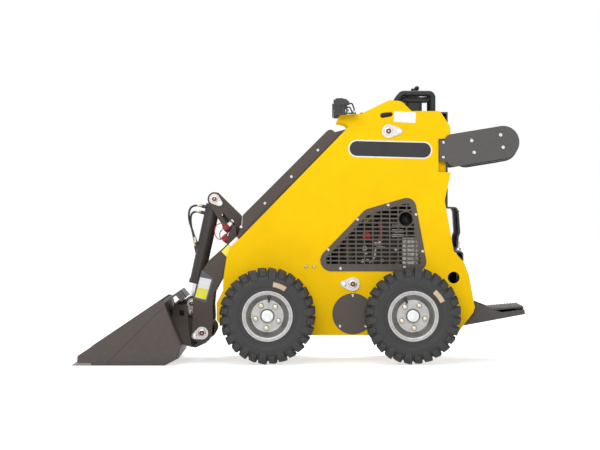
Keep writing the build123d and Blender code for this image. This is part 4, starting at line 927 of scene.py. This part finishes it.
def add_cushion(name, side):
    """Crowned vinyl cushion with a welt round each face."""
    node = f"pad_cushion_{name}"
    low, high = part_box(node)
    run = Vector((cos(PAD_TILT), sin(PAD_TILT)))
    half_run = ((high.x - low.x) - (high.z - low.z)) / (cos(PAD_TILT) - sin(PAD_TILT)) / 2
    radius = (high.x - low.x) / 2 - half_run * cos(PAD_TILT)
    mid = Vector(((low.x + high.x) / 2, (low.z + high.z) / 2))
    outer = high.y if side > 0 else low.y

    def ring(depth, inset):
        """Points round the pad at this depth from its outer face and inset from its edge."""
        outline = round_bar(mid - run * half_run, mid + run * half_run, radius - inset, 20)
        return [(x, outer - side * depth, z) for x, z in outline]

    slab = Shape()
    levels = ((0.0, 0.01), (0.006, 0.004), (0.02, 0.002), (0.032, 0.005), (0.037, 0.012), (0.039, 0.026))
    rings = [[slab.bm.verts.new(point) for point in ring(*level)] for level in levels]
    for a, b in zip(rings, rings[1:]):
        for i in range(len(a)):
            j = (i + 1) % len(a)
            slab.bm.faces.new([a[i], a[j], b[j], b[i]])
    slab.bm.faces.new(rings[0])
    slab.bm.faces.new(rings[-1])
    cushion = slab.done(f"cushion_{name}", "vinyl", "frame", "pad_foam", hides=(node,))
    swollen(cushion, 0.004)
    smooth = cushion.modifiers.new("smooth", "SUBSURF")
    smooth.levels = smooth.render_levels = 1
    welt = Shape()
    for level in ((0.006, 0.002), (0.032, 0.0035)):
        welt.tube(ring(*level), 0.0022, 8, closed=True)
    welt.done(f"cushion_welt_{name}", "vinyl", "frame", "pad_foam")


def add_pad_bolts(side):
    """Bolts through the pad's plate into the cushion, and the bracket's two bolts."""
    low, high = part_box("pad_brackets")
    bolts = Shape()
    for x, z in near(high, (-0.226, -0.07), (-0.089, -0.043), (-0.214, -0.126), (-0.077, -0.101)):
        dome_bolt(bolts, (x, side * high.y, z), (0, side, 0), 9.5)
    for x, z in near(low, (0.019, 0.044), (0.019, 0.114)):
        dome_bolt(bolts, (x, side * high.y, z), (0, side, 0), 7.5)
    bolts.done(f"pad_bolts_{side}", "zinc", "frame", "pin_steel")


for name, side in SIDES:
    add_cushion(name, side)
    add_pad_bolts(side)
    add_lamp_details(side)
add_console()

# -------- what shows behind the grilles
ENGINE_LOW, ENGINE_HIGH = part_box("engine_fittings")


def add_heat_shield(at, side):
    """Thin folded sheet, its folds wavering from top to bottom."""
    folds, fold, levels, level = 9, 0.08 / 9, 10, 0.0155
    shape = Shape()
    rows = []
    for i in range(folds + 1):
        x, out = 0.292 + fold * i, 0.082 if i % 2 else 0.094
        rows.append([at(x, 0.008 + level * k, out + 0.012 * sin(k * 1.9 + x * 60)) for k in range(levels)])
    add_grid(shape, rows)
    sheet = shape.done(f"heat_shield_{side}", "heat_shield", "frame", "engine_iron")
    sheet.modifiers.new("thickness", "SOLIDIFY").thickness = 0.0012


def add_engine_bits(side):
    """Heat shield, caps, pipes and hoses on the engine's side."""
    def at(x, z, out=0.0):
        return Vector((ENGINE_LOW.x + x, side * (ENGINE_HIGH.y + out), ENGINE_LOW.z + z))

    facing = (0, side, 0)
    add_heat_shield(at, side)
    cap = Shape().lathe([(17.5, -60), (17.5, 12), (21, 12), (21, 26), (17, 30), (6, 30), (6, 36), (0, 36)],
                        turned(facing, at(0.119, 0.156, 0.06)), 24)
    cap.done(f"fuel_cap_{side}", "red_plastic", "frame")
    for name, look, slot, radius, route in (
            ("manifold_pipe", "primer", "engine_iron", 0.01,
             ((0.175, 0.115), (0.187, 0.15), (0.192, 0.19), (0.18, 0.225))),
            ("oil_stick", "green_plastic", None, 0.0095,
             ((0.112, 0.222), (0.14, 0.24), (0.16, 0.268), (0.176, 0.276)))):
        path = smooth_path([at(x, z, 0.05) for x, z in route])
        Shape().tube(path, radius).done(f"{name}_{side}", look, "frame", slot)
    steel = Shape()
    for x, z, r in ((0.104, 0.034, 10), (0.128, 0.038, 8), (0.196, 0.036, 9), (0.113, 0.096, 12),
                    (0.165, 0.118, 10), (0.185, 0.12, 11), (0.12, 0.072, 7), (0.262, 0.09, 8)):
        steel.lathe([(r, -50), (r, 10), (r * 0.7, 14), (r * 0.45, 14), (r * 0.45, 20), (0, 20)],
                    turned(facing, at(x, z, 0.05)), 20)
    fins, pitch = 6, 0.011
    for i in range(fins):
        steel.prism([(0, 0), (0.055, 0), (0.055, 0.003), (0, 0.003)],
                    upright(*at(0.245, 0.15 + pitch * i), side), 0.018)
    dark = Shape()
    for shape, radius, route in (
            (steel, 0.005, ((0.13, 0.02), (0.16, 0.05), (0.17, 0.1), (0.21, 0.1))),
            (steel, 0.008, ((0.26, 0.02), (0.29, 0.01), (0.33, 0.02), (0.35, 0.06))),
            (dark, 0.011, ((0.02, 0.2), (0.09, 0.24), (0.16, 0.21), (0.24, 0.26), (0.33, 0.22))),
            (dark, 0.009, ((0.1, 0.14), (0.13, 0.08), (0.11, 0.03)))):
        shape.tube(smooth_path([at(x, z) for x, z in route]), radius, 10)
    steel.done(f"engine_metal_{side}", "heat_shield", "frame", "engine_iron", bevel=0.0006)
    dark.done(f"engine_hoses_{side}", "hose_rubber", "frame")


def add_intake(side):
    """Ribbed air duct running straight in from the grille's round port."""
    port = (GRILLE_HIGH.x - 0.0971, side * (PLATE_OUT - 0.008), GRILLE_HIGH.z - 0.1)
    ribs = [(36.5 if i % 2 else 33.5, -2 - 6 * i) for i in range(22)]
    duct = Shape().lathe([(0, -90), (29.5, -88), (31, 0), (33.5, 1), *ribs, (0, ribs[-1][1])],
                         turned((0, side, 0), port), 40)
    duct.done(f"intake_duct_{side}", "hose_rubber", "frame")


def add_shade_sheets():
    """Dark sheets on the middle plane, round the engine and behind the frame's tie-down holes: painted shade for
    the inside of the body.
    """
    thick = 0.004
    shade_sheet = Shape()
    for low, high in (((GRILLE_LOW.x - 0.02, GRILLE_LOW.z - 0.02), (GRILLE_HIGH.x + 0.03, GRILLE_HIGH.z + 0.03)),
                      ((GRILLE_HIGH.x + 0.075, PLATE_LOW.z + 0.13), (GRILLE_HIGH.x + 0.155, PLATE_LOW.z + 0.3))):
        shade_sheet.prism(round_box(low, high, 0.01), upright(0, -thick / 2, 0), thick)
    # these dark cast-iron sheets are painted shade inside the body
    shade_sheet.done("middle_shade_sheets", "engine_iron", "frame")


for _, side in SIDES:
    add_engine_bits(side)
for _, side in SIDES:
    add_intake(side)
add_shade_sheets()


# -------- rear covers' latches and seam
def add_rear_details():
    """Chromed over-centre latches with their keeps, and the seam of the upper cover's lid."""
    low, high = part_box("rear_cover")
    latches, keeps = Shape(), Shape()
    x, z = high.x - 0.026, low.z + 0.415
    for side in (-1, 1):
        y = side * (high.y - 0.075)
        latches.prism([(0, 0.002), (0.011, 0), (0.013, 0.006), (0.012, 0.03), (0.004, 0.034), (0, 0.034)],
                      upright(x, y - 0.016, z), 0.032)
        latches.tube([(x + 0.008, y - 0.012, z + 0.004), (x + 0.016, y - 0.012, z - 0.026),
                      (x + 0.016, y + 0.012, z - 0.026), (x + 0.008, y + 0.012, z + 0.004)], 0.0022, 8)
        keeps.prism([(0, 0), (0.04, 0), (0.04, 0.013), (0.034, 0.013), (0.034, 0.005), (0, 0.005)],
                    upright(x - 0.02, y - 0.02, z - 0.0128), 0.04)
    latches.done("cover_latches", "brushed", "frame", "rim_silver", bevel=0.0006)
    keeps.done("latch_keeps", "zinc", "frame", "pin_steel", bevel=0.0006)
    end = 0.004
    lip = Shape().prism([(0, 0), (0.0115, 0), (0.0125, 0.0015), (0.0115, 0.003), (0, 0.003)],
                        upright(high.x - 0.03, low.y + end, low.z + 0.59), high.y - low.y - 2 * end)
    lip.done("cover_lid_lip", "black_plastic", "frame", "cover_plastic")


add_rear_details()


# -------- the bucket's welds and stops
def weld(shape, start, end):
    """A bead of overlapping weld scallops from start to end."""
    radius, step = 0.0035, 0.005
    start, end = Vector(start), Vector(end)
    run = end - start
    count = max(2, int(run.length / step) * 2)
    path = [start + run * (i / count) for i in range(count + 1)]
    shape.tube(path, radius, 8, radii=[radius * (1.0 if i % 2 else 0.86) for i in range(count + 1)])


def add_bucket_details():
    """Welds at the shell's ends and along the attachment's plates, and the rubber stops behind the arms."""
    shell_low, shell_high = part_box("bucket_shell")
    attach_low, attach_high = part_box("quick_attach")
    shell_t, stop_y, stop_t = 0.008, 0.249, 0.056
    outline = near(HINGE, (-0.051, -0.0655), (-0.029, -0.0695), (0.023, -0.0455), (-0.005, -0.0365))
    welds, stops = Shape(), Shape()
    for side in (-1, 1):
        y = side * (shell_high.y - shell_t)
        weld(welds, (shell_low.x + 0.08, y, shell_t), (attach_low.x - 0.026, y, shell_t))
        for offset in (0.0, 0.01):
            x, y = attach_low.x - offset, side * (attach_high.y - 0.01 + offset)
            weld(welds, (x + 0.052, y, 0.095), (x + 0.002, y, 0.215))
        stops.prism(outline, upright(0, side * stop_y - stop_t / 2, 0), stop_t)
    stops.done("bucket_stops", "hose_rubber", "bucket", bevel=0.002)
    welds.done("bucket_welds", "boom_grey", "bucket")


add_bucket_details()
